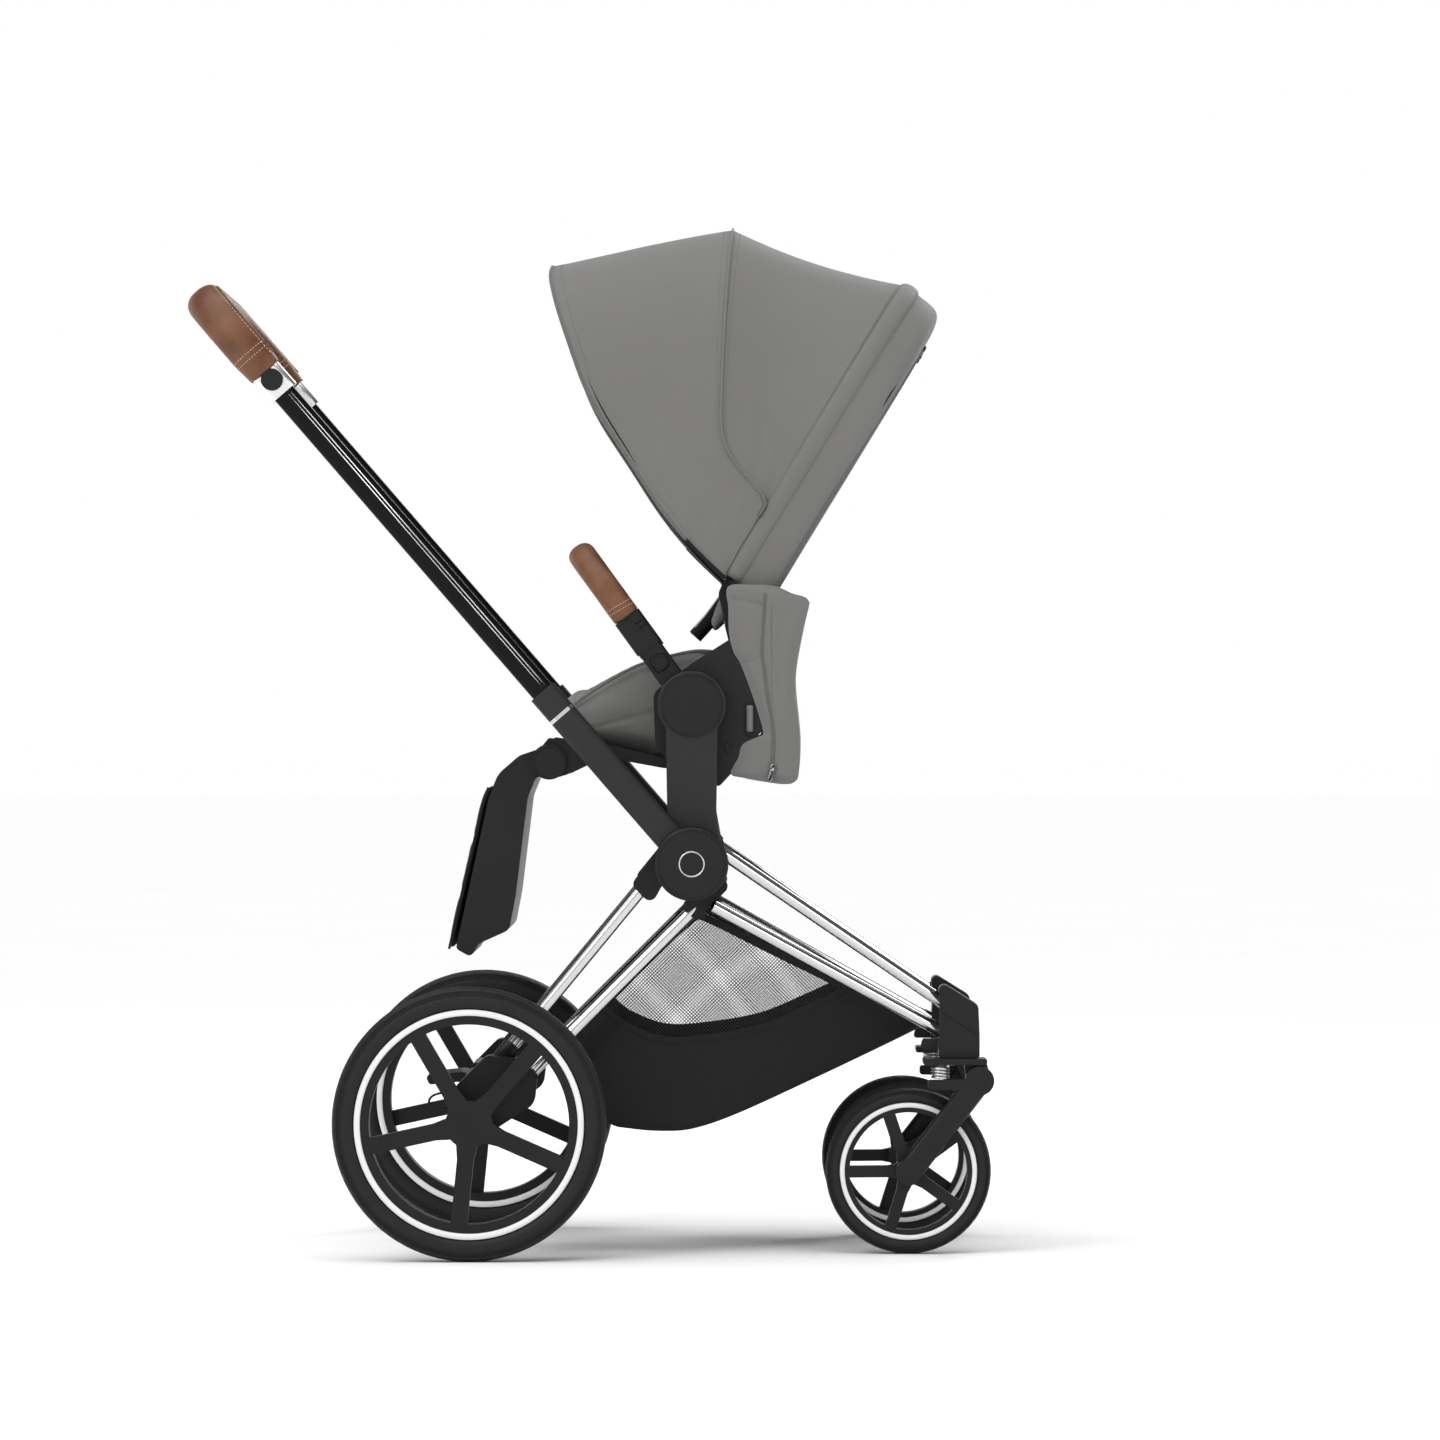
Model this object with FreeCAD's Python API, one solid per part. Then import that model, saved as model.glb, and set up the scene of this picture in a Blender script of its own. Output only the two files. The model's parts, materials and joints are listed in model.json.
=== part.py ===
import FreeCAD, Part
import math
import os

# Baby stroller with a reversible seat unit, in millimetres.
# +X points to the front (castor) wheels, +Z up, the stroller is symmetric about Y = 0.
# The origin is on the floor, under the centre of the stroller.

V = FreeCAD.Vector

# ---- driving dimensions ----
HUB = (105.0, 418.6)             # folding hub axis, X and Z
SEAT_HUB = (105.0, 586.7)        # where the seat unit clips on
RECLINE = (175.6, 638.0)         # backrest hinge
BACK_TILT = 58.6                 # backrest angle above the floor, degrees
HOOD_PIVOT = (149.0, 714.5)
LEG_PIVOT = (-47.5, 526.3)

REAR_AXLE = (-129.4, 145.0)
REAR_WHEEL_R = 145.0
REAR_WHEEL_Y = 280.0
REAR_TYRE_WIDTH = 40.0
FRONT_AXLE = (336.5, 88.5)
FRONT_WHEEL_R = 88.5
FRONT_WHEEL_Y = 150.0
FRONT_TYRE_WIDTH = 34.0
CASTOR_X = 390.0
FORK_PIVOT = (412.0, 186.0)
SPOKES = 5

TUBE_R = 7.0                     # chassis tubes
TUBE_WALL = 1.5
FRONT_TUBES = [((143.5, 426.0), (370.0, 271.0)), ((135.0, 369.0), (368.0, 240.0))]   # XZ ends
REAR_TUBES = [((59.5, 400.6), (-104.0, 203.0)), ((124.0, 386.0), (-70.0, 192.0))]
HOUSING_Y = 150.0                # front tubes splay in from the hub to here
REAR_TUBE_END_Y = 209.0          # rear tubes splay out from the hub to here
HANDLE_ANGLE = 130.9             # handle direction from the hub, degrees
HANDLE_Y = 242.0
SLEEVE_END = 241.5               # distances from the hub along the handle
RING_AT = 209.8
HANDLE_TUBE_END = 668.0
GRIP_START = 690.0
GRIP_END = 800.0
REAR_Y = 196.0                   # middle of the rear hub plates
FRONT_Y = 219.5                  # middle of the front hub cores
RUNNING = 0.05                   # radial clearance of a pin in its bore
GAP = 0.4                        # clearance between faces that slide past each other
GRIP_R = 20.0                    # leather grip of the handle
SIDE_Y = 196.5                   # middle of the seat's side plates
BUMPER_MOUTH = (84.0, 614.5)     # mouth of the bumper socket
BUMPER_ANGLE = 126.0
BUMPER_GRIP = 82.0               # where the leather starts, from the mouth
BUMPER_COLLAR = 41.0             # where the arm steps up to its wider upper end
BUMPER_TOP = 178.0
BUMPER_R = 15.0
LEG_HALF = 148.0                 # half width of the leg rest
REAR_HOOD_Y = 182.0
HOOD_WALL = 2.5


# ---- helpers ----
def outline(corners, y=0.0):
    """Closed wire in an XZ plane. Each corner is (x, z, fillet radius)."""
    bends = []
    for i, (x, z, r) in enumerate(corners):
        before = corners[i - 1]
        after = corners[(i + 1) % len(corners)]
        here = V(x, y, z)
        back = (V(before[0], y, before[1]) - here).normalize()
        on = (V(after[0], y, after[1]) - here).normalize()
        half = back.getAngle(on) / 2
        if r == 0:
            bends.append((here, here, here))
            continue
        reach = r / math.tan(half)
        inward = (back + on).normalize()
        bends.append((here + back * reach, here + inward * (r / math.sin(half) - r), here + on * reach))
    edges = []
    for i, (start, middle, end) in enumerate(bends):
        following = bends[(i + 1) % len(bends)][0]
        if start.distanceToPoint(end) > 1e-6:
            edges.append(Part.Arc(start, middle, end).toShape())
        if end.distanceToPoint(following) > 1e-6:
            edges.append(Part.makeLine(end, following))
    return Part.Wire(edges)


def plate(corners, y0, y1):
    """Prism with an XZ outline, from y0 to y1."""
    return Part.Face(outline(corners, y0)).extrude(V(0, y1 - y0, 0))


def pin(centre, radius, y0, y1):
    """Cylinder along Y."""
    return Part.makeCylinder(radius, y1 - y0, V(centre[0], y0, centre[1]), V(0, 1, 0))


def rod(start, end, radius):
    """Cylinder between two points."""
    a, b = V(*start), V(*end)
    return Part.makeCylinder(radius, (b - a).Length, a, b - a)


def bar(start, end, y, depth, width, corner):
    """Rounded bar between two XZ points, depth in the XZ plane and width along Y."""
    dx, dz = end[0] - start[0], end[1] - start[1]
    length = math.hypot(dx, dz)
    block = Part.makeBox(depth, width, length, V(-depth / 2, -width / 2, 0))
    long_edges = [e for e in block.Edges if abs(e.tangentAt(0).z) > 0.9]
    block = block.makeFillet(corner, long_edges)
    turn = FreeCAD.Rotation(V(0, 1, 0), math.degrees(math.atan2(dx, dz)))
    block.Placement = FreeCAD.Placement(V(start[0], y, start[1]), turn)
    return block


def mirror(shape):
    return shape.mirror(V(0, 0, 0), V(0, 1, 0))


def both(*shapes):
    """The +Y shapes and their mirror images."""
    return list(shapes) + [mirror(s) for s in shapes]


def save(name, shapes):
    shapes = shapes if isinstance(shapes, list) else [shapes]
    solids = [solid for shape in shapes for solid in shape.Solids]
    bad = [s for s in solids if not s.isValid() or s.Volume < 1]
    print(f"{name}: {len(solids)} solids, {sum(s.Volume for s in solids) / 1000:.1f} cm3" + " BAD" * len(bad))
    whole = solids[0] if len(solids) == 1 else Part.makeCompound(solids)
    whole.exportStep(f"parts/{name}.step")


def save_pair(name, right):
    """A +Y part as NAME_right and its mirror image as NAME_left."""
    save(name + "_right", right)
    save(name + "_left", mirror(right))


def along(distance, side=0.0):
    """XZ point on the handle line, at a distance from the hub, shifted sideways."""
    a = math.radians(HANDLE_ANGLE)
    return (HUB[0] + distance * math.cos(a) + side * math.sin(a),
            HUB[1] + distance * math.sin(a) - side * math.cos(a))


def back(up, forward):
    """XZ point on the backrest: up along it from the recline hinge, forward to the child."""
    a = math.radians(BACK_TILT)
    return (RECLINE[0] + up * math.cos(a) - forward * math.sin(a),
            RECLINE[1] + up * math.sin(a) + forward * math.cos(a))


def spun(profile, centre, y):
    """Solid of revolution about the Y axis through a centre, from (radius, y offset) corners."""
    points = [V(centre[0], y + dy, centre[1] + r) for r, dy in profile]
    face = Part.Face(Part.makePolygon(points + [points[0]]))
    return face.revolve(V(centre[0], 0, centre[1]), V(0, 1, 0), 360)


# ---- wheels ----
def tyre(centre, y, radius, inner, width):
    h = width / 2
    crown = radius - inner
    profile = [(inner, -h * 0.8), (inner + crown * 0.3, -h), (radius - crown * 0.28, -h * 0.92),
               (radius - crown * 0.06, -h * 0.55), (radius, -h * 0.2), (radius, h * 0.2),
               (radius - crown * 0.06, h * 0.55), (radius - crown * 0.28, h * 0.92),
               (inner + crown * 0.3, h), (inner, h * 0.8)]
    return spun(profile, centre, y)


def rim(centre, y, outer, ring, width, hub_r, hub_width, spoke, first_angle, bore):
    """Cast wheel: a rim ring, a hub and five flat spokes that widen at the hub."""
    h = width / 2
    hoop = spun([(outer - ring, -h), (outer, -h), (outer, h), (outer - ring, h)], centre, y)
    hub = pin(centre, hub_r, y - hub_width / 2, y + hub_width / 2)
    wheel = hoop.fuse(hub)
    for n in range(SPOKES):
        x, z = centre
        narrow_at, end = x + hub_r * 1.5, x + outer - ring / 2
        arm = plate([(x, z - spoke * 0.85, 0), (narrow_at, z - spoke * 0.5, 0), (end, z - spoke * 0.5, 0),
                     (end, z + spoke * 0.5, 0), (narrow_at, z + spoke * 0.5, 0), (x, z + spoke * 0.85, 0)],
                    y + h * 0.1, y + h)
        arm.rotate(V(centre[0], 0, centre[1]), V(0, 1, 0), -(first_angle + n * 360 / SPOKES))
        wheel = wheel.fuse(arm)
    return wheel.cut(pin(centre, bore, y - hub_width / 2 - 1, y + hub_width / 2 - 1.4))


def rear_wheel():
    rim_r, ring, hub_r = 121.0, 15.5, 25.0
    brake_r, holes, hole_r = 19.5, 12, 3.7
    wheel = rim(REAR_AXLE, REAR_WHEEL_Y, rim_r, ring, 34, hub_r, 34, 17.5, 264.3, 6 + RUNNING)
    for n in range(holes):
        a = math.radians(n * 360 / holes)
        spot = (REAR_AXLE[0] + brake_r * math.cos(a), REAR_AXLE[1] + brake_r * math.sin(a))
        wheel = wheel.cut(pin(spot, hole_r, 255, 268))
    save_pair("rear_rim", wheel.removeSplitter())
    save_pair("rear_tyre", tyre(REAR_AXLE, REAR_WHEEL_Y, REAR_WHEEL_R, rim_r, REAR_TYRE_WIDTH))


def front_wheel():
    rim_r, ring = 73.5, 10.5
    wheel = rim(FRONT_AXLE, FRONT_WHEEL_Y, rim_r, ring, 28, 15, 28, 12.5, 180.5, 5 + RUNNING)
    wheel = wheel.cut(pin(FRONT_AXLE, 5 + RUNNING, 130, 170))
    save_pair("front_rim", wheel.removeSplitter())
    save_pair("front_tyre", tyre(FRONT_AXLE, FRONT_WHEEL_Y, FRONT_WHEEL_R, rim_r, FRONT_TYRE_WIDTH))


# ---- front frame ----


def front_tube(ends, inward, radius):
    """One front tube; it starts inside the hub core and ends inside the castor housing."""
    (x0, z0), (x1, z1) = ends
    slope = (z1 - z0) / (x1 - x0)
    start_x, end_x = x0 - inward, x1 + 12
    splay = (HOUSING_Y - FRONT_Y) / (x1 - x0)
    start = (start_x, FRONT_Y + splay * (start_x - x0), z0 + slope * (start_x - x0))
    end = (end_x, FRONT_Y + splay * (end_x - x0), z0 + slope * (end_x - x0))
    return rod(start, end, radius)


def front_frame():
    solid_tubes = [front_tube(ends, 8, TUBE_R) for ends in FRONT_TUBES]
    bores = [front_tube(ends, 8, TUBE_R - TUBE_WALL) for ends in FRONT_TUBES]
    tubes = [t.cut(b) for t, b in zip(solid_tubes, bores)]
    save("front_leg_tubes", both(*tubes))

    core = pin(HUB, 38, 208, 230.5)
    for t in solid_tubes:
        core = core.cut(t)
    core = core.cut(pin(HUB, 9, 200, 240))
    save("hub_cores", both(core))

    cap = pin(HUB, 39, 254, 264)
    cap = cap.makeFillet(2.5, [e for e in cap.Edges if e.BoundBox.YMin > 263.9 and e.Length > 200])
    axle = pin(HUB, 9, 188.5, 254)
    save("hub_caps", both(cap.fuse(axle).removeSplitter()))

    post = plate([(82, 428, 0), (79, 470, 20), (77, 586, 0), (133, 586, 0), (131, 470, 30), (137, 436, 0),
                  (110, 418, 0)], 208, 228)
    boss = pin(SEAT_HUB, 36.4, 206, 228)
    post = post.fuse(boss).cut(pin(HUB, 38, 200, 240)).cut(pin(SEAT_HUB, 10, 200, 240))
    save("seat_posts", both(post.removeSplitter()))

    disc = pin(SEAT_HUB, 33, 228, 230.4)
    disc = disc.fuse(pin(SEAT_HUB, 10, 203.5, 228)).removeSplitter()
    save("seat_hub_discs", both(disc))

    shell = plate([(368.5, 293, 6), (411, 266.5, 8), (412.4, 233, 0), (370, 260, 0)], 128, 172)
    lower = plate([(370, 259.6, 0), (412.4, 232.6, 0), (412.4, 210, 3), (368.5, 210, 3)], 128, 172)
    stem = Part.makeCylinder(8 + RUNNING, 30, V(CASTOR_X, FRONT_WHEEL_Y, 205), V(0, 0, 1))
    for t in solid_tubes:
        shell = shell.cut(t)
        lower = lower.cut(t)
    lower = lower.cut(stem)
    cross = rod((392, -128, 250), (392, 128, 250), 9)
    save("front_housings", both(shell))
    save("castor_sockets", both(lower))
    save("front_cross_bar", cross)

    knob = plate([(349, 219, 3), (368.3, 219, 0), (368.3, 230, 0), (352, 230, 3)], 141, 159)
    save_pair("swivel_lock", knob)


# ---- castors and suspension ----
def castor():
    y = FRONT_WHEEL_Y
    stem = Part.makeCylinder(8, 24, V(CASTOR_X, y, 209), V(0, 0, 1))
    flange = plate([(352, 203, 2), (420, 203, 2), (420, 209.5, 2), (352, 209.5, 2)], y - 18, y + 36)
    cheek = plate([(396, 204, 0), (420, 204, 0), (426, 186, 8), (418, 173, 8), (404, 173, 8), (398, 186, 8)],
                  y - 5, y + 19)
    pivot = pin(FORK_PIVOT, 6, y + 19, y + 37)
    save_pair("castor_yoke", flange.fuse(cheek).fuse(stem).fuse(pivot).removeSplitter())

    arm = bar(FORK_PIVOT, FRONT_AXLE, y + 29, 27, 15, 5)
    boss = pin(FORK_PIVOT, 15.5, y + 21, y + 36.5)
    foot = pin(FRONT_AXLE, 14, y + 19.5, y + 36.5)
    lever = plate([(357, 177, 3), (405, 175, 0), (405, 187, 0), (357, 187, 3)], y + 22, y + 36)
    arm = arm.fuse(boss).fuse(foot).fuse(lever).cut(pin(FORK_PIVOT, 6 + RUNNING, y, y + 60))
    arm = arm.cut(Part.makeBox(90, 60, 20, V(350, y, 202.2)))
    axle = pin(FRONT_AXLE, 5, y - 15, y + 20)
    save_pair("fork_arm", arm.fuse(axle).removeSplitter())

    coil_r, wire_r, turns = 8.5, 1.3, 4
    height = 203 - 187 - 2 * wire_r - 0.6
    helix = Part.makeHelix(height / turns, height, coil_r)
    start = Part.Wire([Part.Circle(V(coil_r, 0, 0), V(0, 1, 0), wire_r).toShape()])
    coil = Part.Wire(helix).makePipeShell([start], True, True)
    coil.Placement = FreeCAD.Placement(V(370, y + 29, 187 + wire_r + 0.3), FreeCAD.Rotation())
    save_pair("fork_spring", coil)


# ---- rear frame ----


def rear_tube(ends, radius):
    (x0, z0), (x1, z1) = ends
    return rod((x0, REAR_Y, z0), (x1, REAR_TUBE_END_Y, z1), radius)


def rear_frame():
    solid_tubes = [rear_tube(ends, TUBE_R) for ends in REAR_TUBES]
    tubes = [t.cut(rear_tube(ends, TUBE_R - TUBE_WALL)) for t, ends in zip(solid_tubes, REAR_TUBES)]
    save("rear_leg_tubes", both(*tubes))

    plate_r = 37
    knuckle = pin(HUB, plate_r, 188.5, 204)
    lugs = [plate([(40, 396, 8), (74, 438, 4), (90, 425, 0), (62, 374, 8)], 188.5, 204),
            plate([(92, 372, 8), (110, 357, 8), (146, 394, 8), (130, 412, 8)], 188.5, 204)]
    knuckle = knuckle.fuse(lugs).removeSplitter()
    for t in solid_tubes:
        knuckle = knuckle.cut(t)
    knuckle = knuckle.cut(pin(HUB, 9 + RUNNING, 180, 210))
    save("rear_knuckles", both(knuckle))

    housing = plate([(-152, 136, 14), (-124, 124, 14), (-62, 164, 14), (-58, 196, 12), (-78, 212, 12),
                     (-112, 216, 12), (-146, 182, 12)], 203, 247)
    for t in solid_tubes:
        housing = housing.cut(t)
    sleeve = rod((-86, 206.6, 225), (-108, 216, 198), 10).cut(housing).cut(solid_tubes[0])
    spot = (REAR_AXLE[0], REAR_AXLE[1] + 19.5)
    brake_bore = pin(spot, 3.2 + RUNNING, 226, 250)
    axle = pin(REAR_AXLE, 6, 225, 295)
    save("rear_housings", both(housing.cut(brake_bore).fuse(axle).removeSplitter(), sleeve))

    beam = plate([(-139, 173, 6), (-103, 173, 6), (-103, 195, 8), (-139, 195, 8)], -203, 203)
    hinge = (-139, 184)
    beam = beam.cut(plate([(-150, 160, 0), (-129, 160, 0), (-129, 210, 0), (-150, 210, 0)], -56, 56))
    shaft = pin(hinge, 3, -62, 62)
    save("rear_cross_beam", [beam.cut(shaft), shaft])
    pedal = plate([(-184, 186, 3), (-146, 190, 6), (-131, 188, 3), (-132, 178, 3), (-150, 179, 6), (-180, 176, 4)],
                  -54, 54).cut(pin(hinge, 3 + RUNNING, -60, 60))
    save("brake_pedal", pedal)
    save_pair("brake_pin", pin(spot, 3.2, 228, 251.5))


# ---- handle ----
def handle():
    knuckle = pin(HUB, 36, 231.2, 253.2)
    sleeve = bar(along(28), along(SLEEVE_END), HANDLE_Y, 31, 21.6, 7).fuse(knuckle)
    sleeve = sleeve.cut(bar(along(40), along(SLEEVE_END + 5), HANDLE_Y, 25.0 + 0.6, 16.4 + 0.6, 5))
    sleeve = sleeve.cut(pin(HUB, 9 + RUNNING, 200, 260))
    ring = bar(along(RING_AT - 2), along(RING_AT + 2), HANDLE_Y, 31.8, 22.4, 7.4)
    groove = bar(along(RING_AT - 2), along(RING_AT + 2), HANDLE_Y, 29.8, 20.4, 6.4)
    ring = ring.cut(groove)
    save("handle_sleeves", both(sleeve.cut(ring).removeSplitter()))
    save("handle_rings", both(ring))

    tube = bar(along(125), along(HANDLE_TUBE_END), HANDLE_Y, 25, 16.4, 5)
    tube = tube.cut(bar(along(124), along(HANDLE_TUBE_END + 1), HANDLE_Y, 21, 12.4, 3.5))
    save("handle_tubes", both(tube))

    bracket = bar(along(HANDLE_TUBE_END - 9), along(GRIP_START), HANDLE_Y, 34, 24, 7)
    bracket = bracket.cut(bar(along(0), along(HANDLE_TUBE_END), HANDLE_Y, 25, 16.4, 5))
    button_at = along(678, 0)
    bracket = bracket.cut(pin(button_at, 11.4 + GAP, 250.5, 260))
    save("handle_brackets", both(bracket))
    save_pair("handle_button", pin(button_at, 11.4, 252.8, 257.5))

    core = hoop(HUB, HANDLE_ANGLE, HANDLE_Y, GRIP_START, GRIP_END - GRIP_R, 60, 9)
    grip = hoop(HUB, HANDLE_ANGLE, HANDLE_Y, GRIP_START, GRIP_END - GRIP_R, 60, GRIP_R).cut(core)
    save("handle_crossbar", core)
    save("handle_grip", grip)


def hoop(origin, angle, half_width, start, top, bend, radius):
    """U-shaped round bar: two legs that start at a distance from the origin, two arcs and a top run."""
    lean = V(math.cos(math.radians(angle)), 0, math.sin(math.radians(angle)))

    def at(y, distance):
        return V(origin[0], y, origin[1]) + lean * distance

    w = half_width
    slant = bend * (1 - math.cos(math.pi / 4))
    edges = [Part.makeLine(at(-w, start), at(-w, top - bend)),
             Part.Arc(at(-w, top - bend), at(slant - w, top - slant), at(bend - w, top)).toShape(),
             Part.makeLine(at(bend - w, top), at(w - bend, top)),
             Part.Arc(at(w - bend, top), at(w - slant, top - slant), at(w, top - bend)).toShape(),
             Part.makeLine(at(w, top - bend), at(w, start))]
    section = Part.Wire([Part.Circle(at(-w, start), lean, radius).toShape()])
    return Part.Wire(edges).makePipeShell([section], True, True)


# ---- seat frame fixed to the chassis ----
def seat_frame():
    side = plate([(64, 600, 14), (66, 546, 14), (84, 519, 10), (134, 500, 5), (147, 514, 4), (157, 537, 3),
                  (181, 560, 4), (193, 600, 10), (193, 652, 14), (150, 660, 10), (106, 632, 20), (84, 616, 8)],
                 SIDE_Y - 6.5, SIDE_Y + 6.5)
    arm_low = bumper_at(0)
    arm_seat = bumper_at(-30)
    socket = bar(arm_seat, arm_low, SIDE_Y, 26, 13, 3)
    side = side.cut(socket).cut(bar(bumper_at(-GAP), bumper_at(90), SIDE_Y, 27 + 2 * GAP, 20, 3))
    hinge_pin = pin(RECLINE, 6, 160, SIDE_Y + 6.5)
    save("side_plates", both(side.fuse(hinge_pin).removeSplitter()))
    save("bumper_sockets", both(socket.cut(bar(bumper_at(-26), bumper_at(2), SIDE_Y, 16 + GAP, 8 + GAP, 2))))

    end = SIDE_Y - 6.5
    cross = [rod((x, -end, 512), (x, end, 512), 7) for x in (88, 134)]
    rails = [rod((82, y, 512), (134, y, 512), 5) for y in (-120, 120)]
    save("seat_frame_tubes", cross[0].fuse([cross[1]] + rails).removeSplitter())

    cover_side = plate([(151, 709, 6), (229, 696, 6), (219, 519, 8), (214, 504, 6), (188, 503, 6), (147, 513, 6),
                        (181, 560, 0), (154, 631, 0)], 204, 207)
    rear_wall = plate([(216, 519, 0), (222.5, 636, 0), (225.6, 636, 0), (219, 519, 0), (214, 504, 0), (211, 504, 0)],
                      -204, 204)
    floor = plate([(160, 503, 0), (212, 503, 0), (212, 506, 0), (160, 506, 0)], -204, 204)
    save("lower_back_cover", rear_wall.fuse([floor, cover_side, mirror(cover_side)]).removeSplitter())


# ---- bumper bar ----
def bumper_at(distance):
    """XZ point on the bumper arm's line, measured from the mouth of its socket."""
    a = math.radians(BUMPER_ANGLE)
    return (BUMPER_MOUTH[0] + distance * math.cos(a), BUMPER_MOUTH[1] + distance * math.sin(a))


def bumper():
    arm = bar(bumper_at(GAP), bumper_at(BUMPER_GRIP), SIDE_Y, 27, 14, 5)
    tongue = bar(bumper_at(-24), bumper_at(GAP + 2), SIDE_Y, 16, 8, 2)
    button_at = bumper_at(21)
    pocket = pin(button_at, 7 + GAP, SIDE_Y + 2.5, SIDE_Y + 10)
    top = BUMPER_TOP - BUMPER_R
    core = hoop(BUMPER_MOUTH, BUMPER_ANGLE, SIDE_Y, BUMPER_GRIP, top, 55, 8)
    grip = hoop(BUMPER_MOUTH, BUMPER_ANGLE, SIDE_Y, BUMPER_GRIP, top, 55, BUMPER_R).cut(core)
    collar = bar(bumper_at(BUMPER_COLLAR), bumper_at(BUMPER_GRIP), SIDE_Y, 31, 16, 6)
    arm = arm.fuse([tongue, collar]).cut(pocket)
    save("bumper_bar", core.fuse([arm, mirror(arm)]).removeSplitter())
    save("bumper_grip", grip)
    save_pair("bumper_button", pin(button_at, 7, SIDE_Y + 5.3, SIDE_Y + 8.3))


# ---- seat base, cushion and leg rest ----
def seat_base():
    pan = plate([(-14, 541, 2), (34, 527, 20), (75, 519.5, 20), (150, 519.5, 3), (150, 528, 3),
                 (78, 530, 20), (36, 540, 20), (0, 548.8, 0), (-14, 556, 2)], -165, 165)
    bracket = plate([(-47.5, 508, 0), (-30, 512, 6), (12, 532, 0), (0, 545, 0), (-48, 552, 3), (-66, 530, 6)],
                    LEG_HALF + GAP, 165)
    pan = pan.fuse([bracket, mirror(bracket)]).cut(pin(LEG_PIVOT, 7, -200, 200)).removeSplitter()
    pivot = pin(LEG_PIVOT, 19, 165, 172).fuse(pin(LEG_PIVOT, 7, 100, 165)).removeSplitter()
    save("seat_pan", [pan] + both(pivot))
    cushion = plate([(-50, 563, 2), (-20, 561, 4), (0.4, 549.4, 4), (36.2, 540.5, 20), (78, 530.5, 20),
                     (149, 528.5, 0), (150, 646, 8), (114, 651, 60), (84, 646, 80), (49, 637, 40), (6, 614, 60),
                     (-36, 584, 30)], -168, 168)
    trough = plate([(-80, 585, 0), (-40, 583, 20), (6, 582, 60), (49, 603, 60), (84, 612, 60), (114, 617, 0),
                    (151, 612, 0), (151, 700, 0), (-80, 700, 0)], -124, 124)
    save("seat_cushion", cushion.cut(trough))
    strap = plate([(8, 584.2, 0), (22, 591, 0), (14, 608, 4), (1, 602, 4)], -17, 17)
    save("crotch_buckle", strap)


def leg_rest():
    shell = plate([(-50, 543, 6), (-80, 533, 20), (-103, 513, 30), (-113, 487, 30), (-148, 326, 5),
                   (-132, 317, 5), (-124, 331, 8), (-91, 346, 10), (-84, 382, 20), (-71, 488, 20),
                   (-62, 510, 6), (-44, 510, 4)], -LEG_HALF, LEG_HALF)
    knee = pin(LEG_PIVOT, 17, -LEG_HALF, LEG_HALF)
    save("leg_rest_shell", shell.fuse(knee).cut(pin(LEG_PIVOT, 7 + RUNNING, -200, 200)).removeSplitter())
    pad = plate([(-113, 502, 2), (-121, 486, 10), (-157, 325, 4), (-148.6, 324, 0), (-113.6, 485, 6),
                 (-110.6, 497, 0)], -LEG_HALF, LEG_HALF)
    save("leg_rest_pad", pad)


# ---- backrest and hood ----
def from_behind(half_width, top, corner, n0, n1):
    """Prism across the backrest whose outline, seen from behind, has two round top corners."""
    low, w, r = -80.0, half_width, corner
    slant = r * (1 - math.cos(math.pi / 4))

    def at(y, up):
        x, z = back(up, n0)
        return V(x, y, z)

    edges = [Part.makeLine(at(-w, low), at(-w, top - r)),
             Part.Arc(at(-w, top - r), at(slant - w, top - slant), at(r - w, top)).toShape(),
             Part.makeLine(at(r - w, top), at(w - r, top)),
             Part.Arc(at(w - r, top), at(w - slant, top - slant), at(w, top - r)).toShape(),
             Part.makeLine(at(w, top - r), at(w, low)),
             Part.makeLine(at(w, low), at(-w, low))]
    x0, z0 = back(0, n0)
    x1, z1 = back(0, n1)
    return Part.Face(Part.Wire(edges)).extrude(V(x1 - x0, 0, z1 - z0))


def backrest():
    board = plate([back(10, 25.2) + (0,), back(376, 25.2) + (0,), back(376, 31) + (0,), back(10, 31) + (0,)],
                  -166, 166).common(from_behind(166, 376, 90, 0, 60))
    ear = plate([back(-14, -10) + (12,), back(-8, 28) + (8,), back(36, 72) + (12,), back(66, 76) + (12,),
                 back(66, 44) + (8,), back(40, 25.2) + (4,), back(14, -12) + (12,)], 160, 168)
    board = board.fuse([ear, mirror(ear)])
    board = board.cut(pin(RECLINE, 6 + RUNNING, -200, 200))
    hood_pin = pin(HOOD_PIVOT, 5, 168, 191)
    board = board.fuse([hood_pin, mirror(hood_pin)]).removeSplitter()
    save("backrest_board", board)
    pad = plate([back(34, 31.2) + (6,), back(398, 31.2) + (6,), back(398, 60) + (12,), back(34, 60) + (12,)],
                -156, 156).common(from_behind(156, 398, 84, 0, 100))
    save("back_pad", pad)
    strap = plate([back(60, 60.4) + (0,), back(300, 60.4) + (0,), back(300, 64.4) + (0,), back(60, 64.4) + (0,)],
                  34, 72)
    save("shoulder_straps", both(strap))

    tray = plate([back(48, 21.5) + (0,), back(383, 21.5) + (30,), back(425, 31) + (14,), back(428, 74) + (4,),
                  back(62, 76) + (8,)], -REAR_HOOD_Y, REAR_HOOD_Y)
    hollow = plate([back(0, 24.6) + (0,), back(382, 24.6) + (28,), back(421.5, 33) + (12,), back(425, 90) + (0,),
                    back(0, 90) + (0,)], 3 - REAR_HOOD_Y, REAR_HOOD_Y - 3)
    tray = tray.common(from_behind(REAR_HOOD_Y, 430, 100, 0, 120))
    hollow = hollow.common(from_behind(REAR_HOOD_Y - 3, 425, 97, -10, 120))
    tray = tray.cut(hollow).cut(pin(HOOD_PIVOT, 5.4, -200, 200))
    save("hood_rear", tray.removeSplitter())


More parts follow.
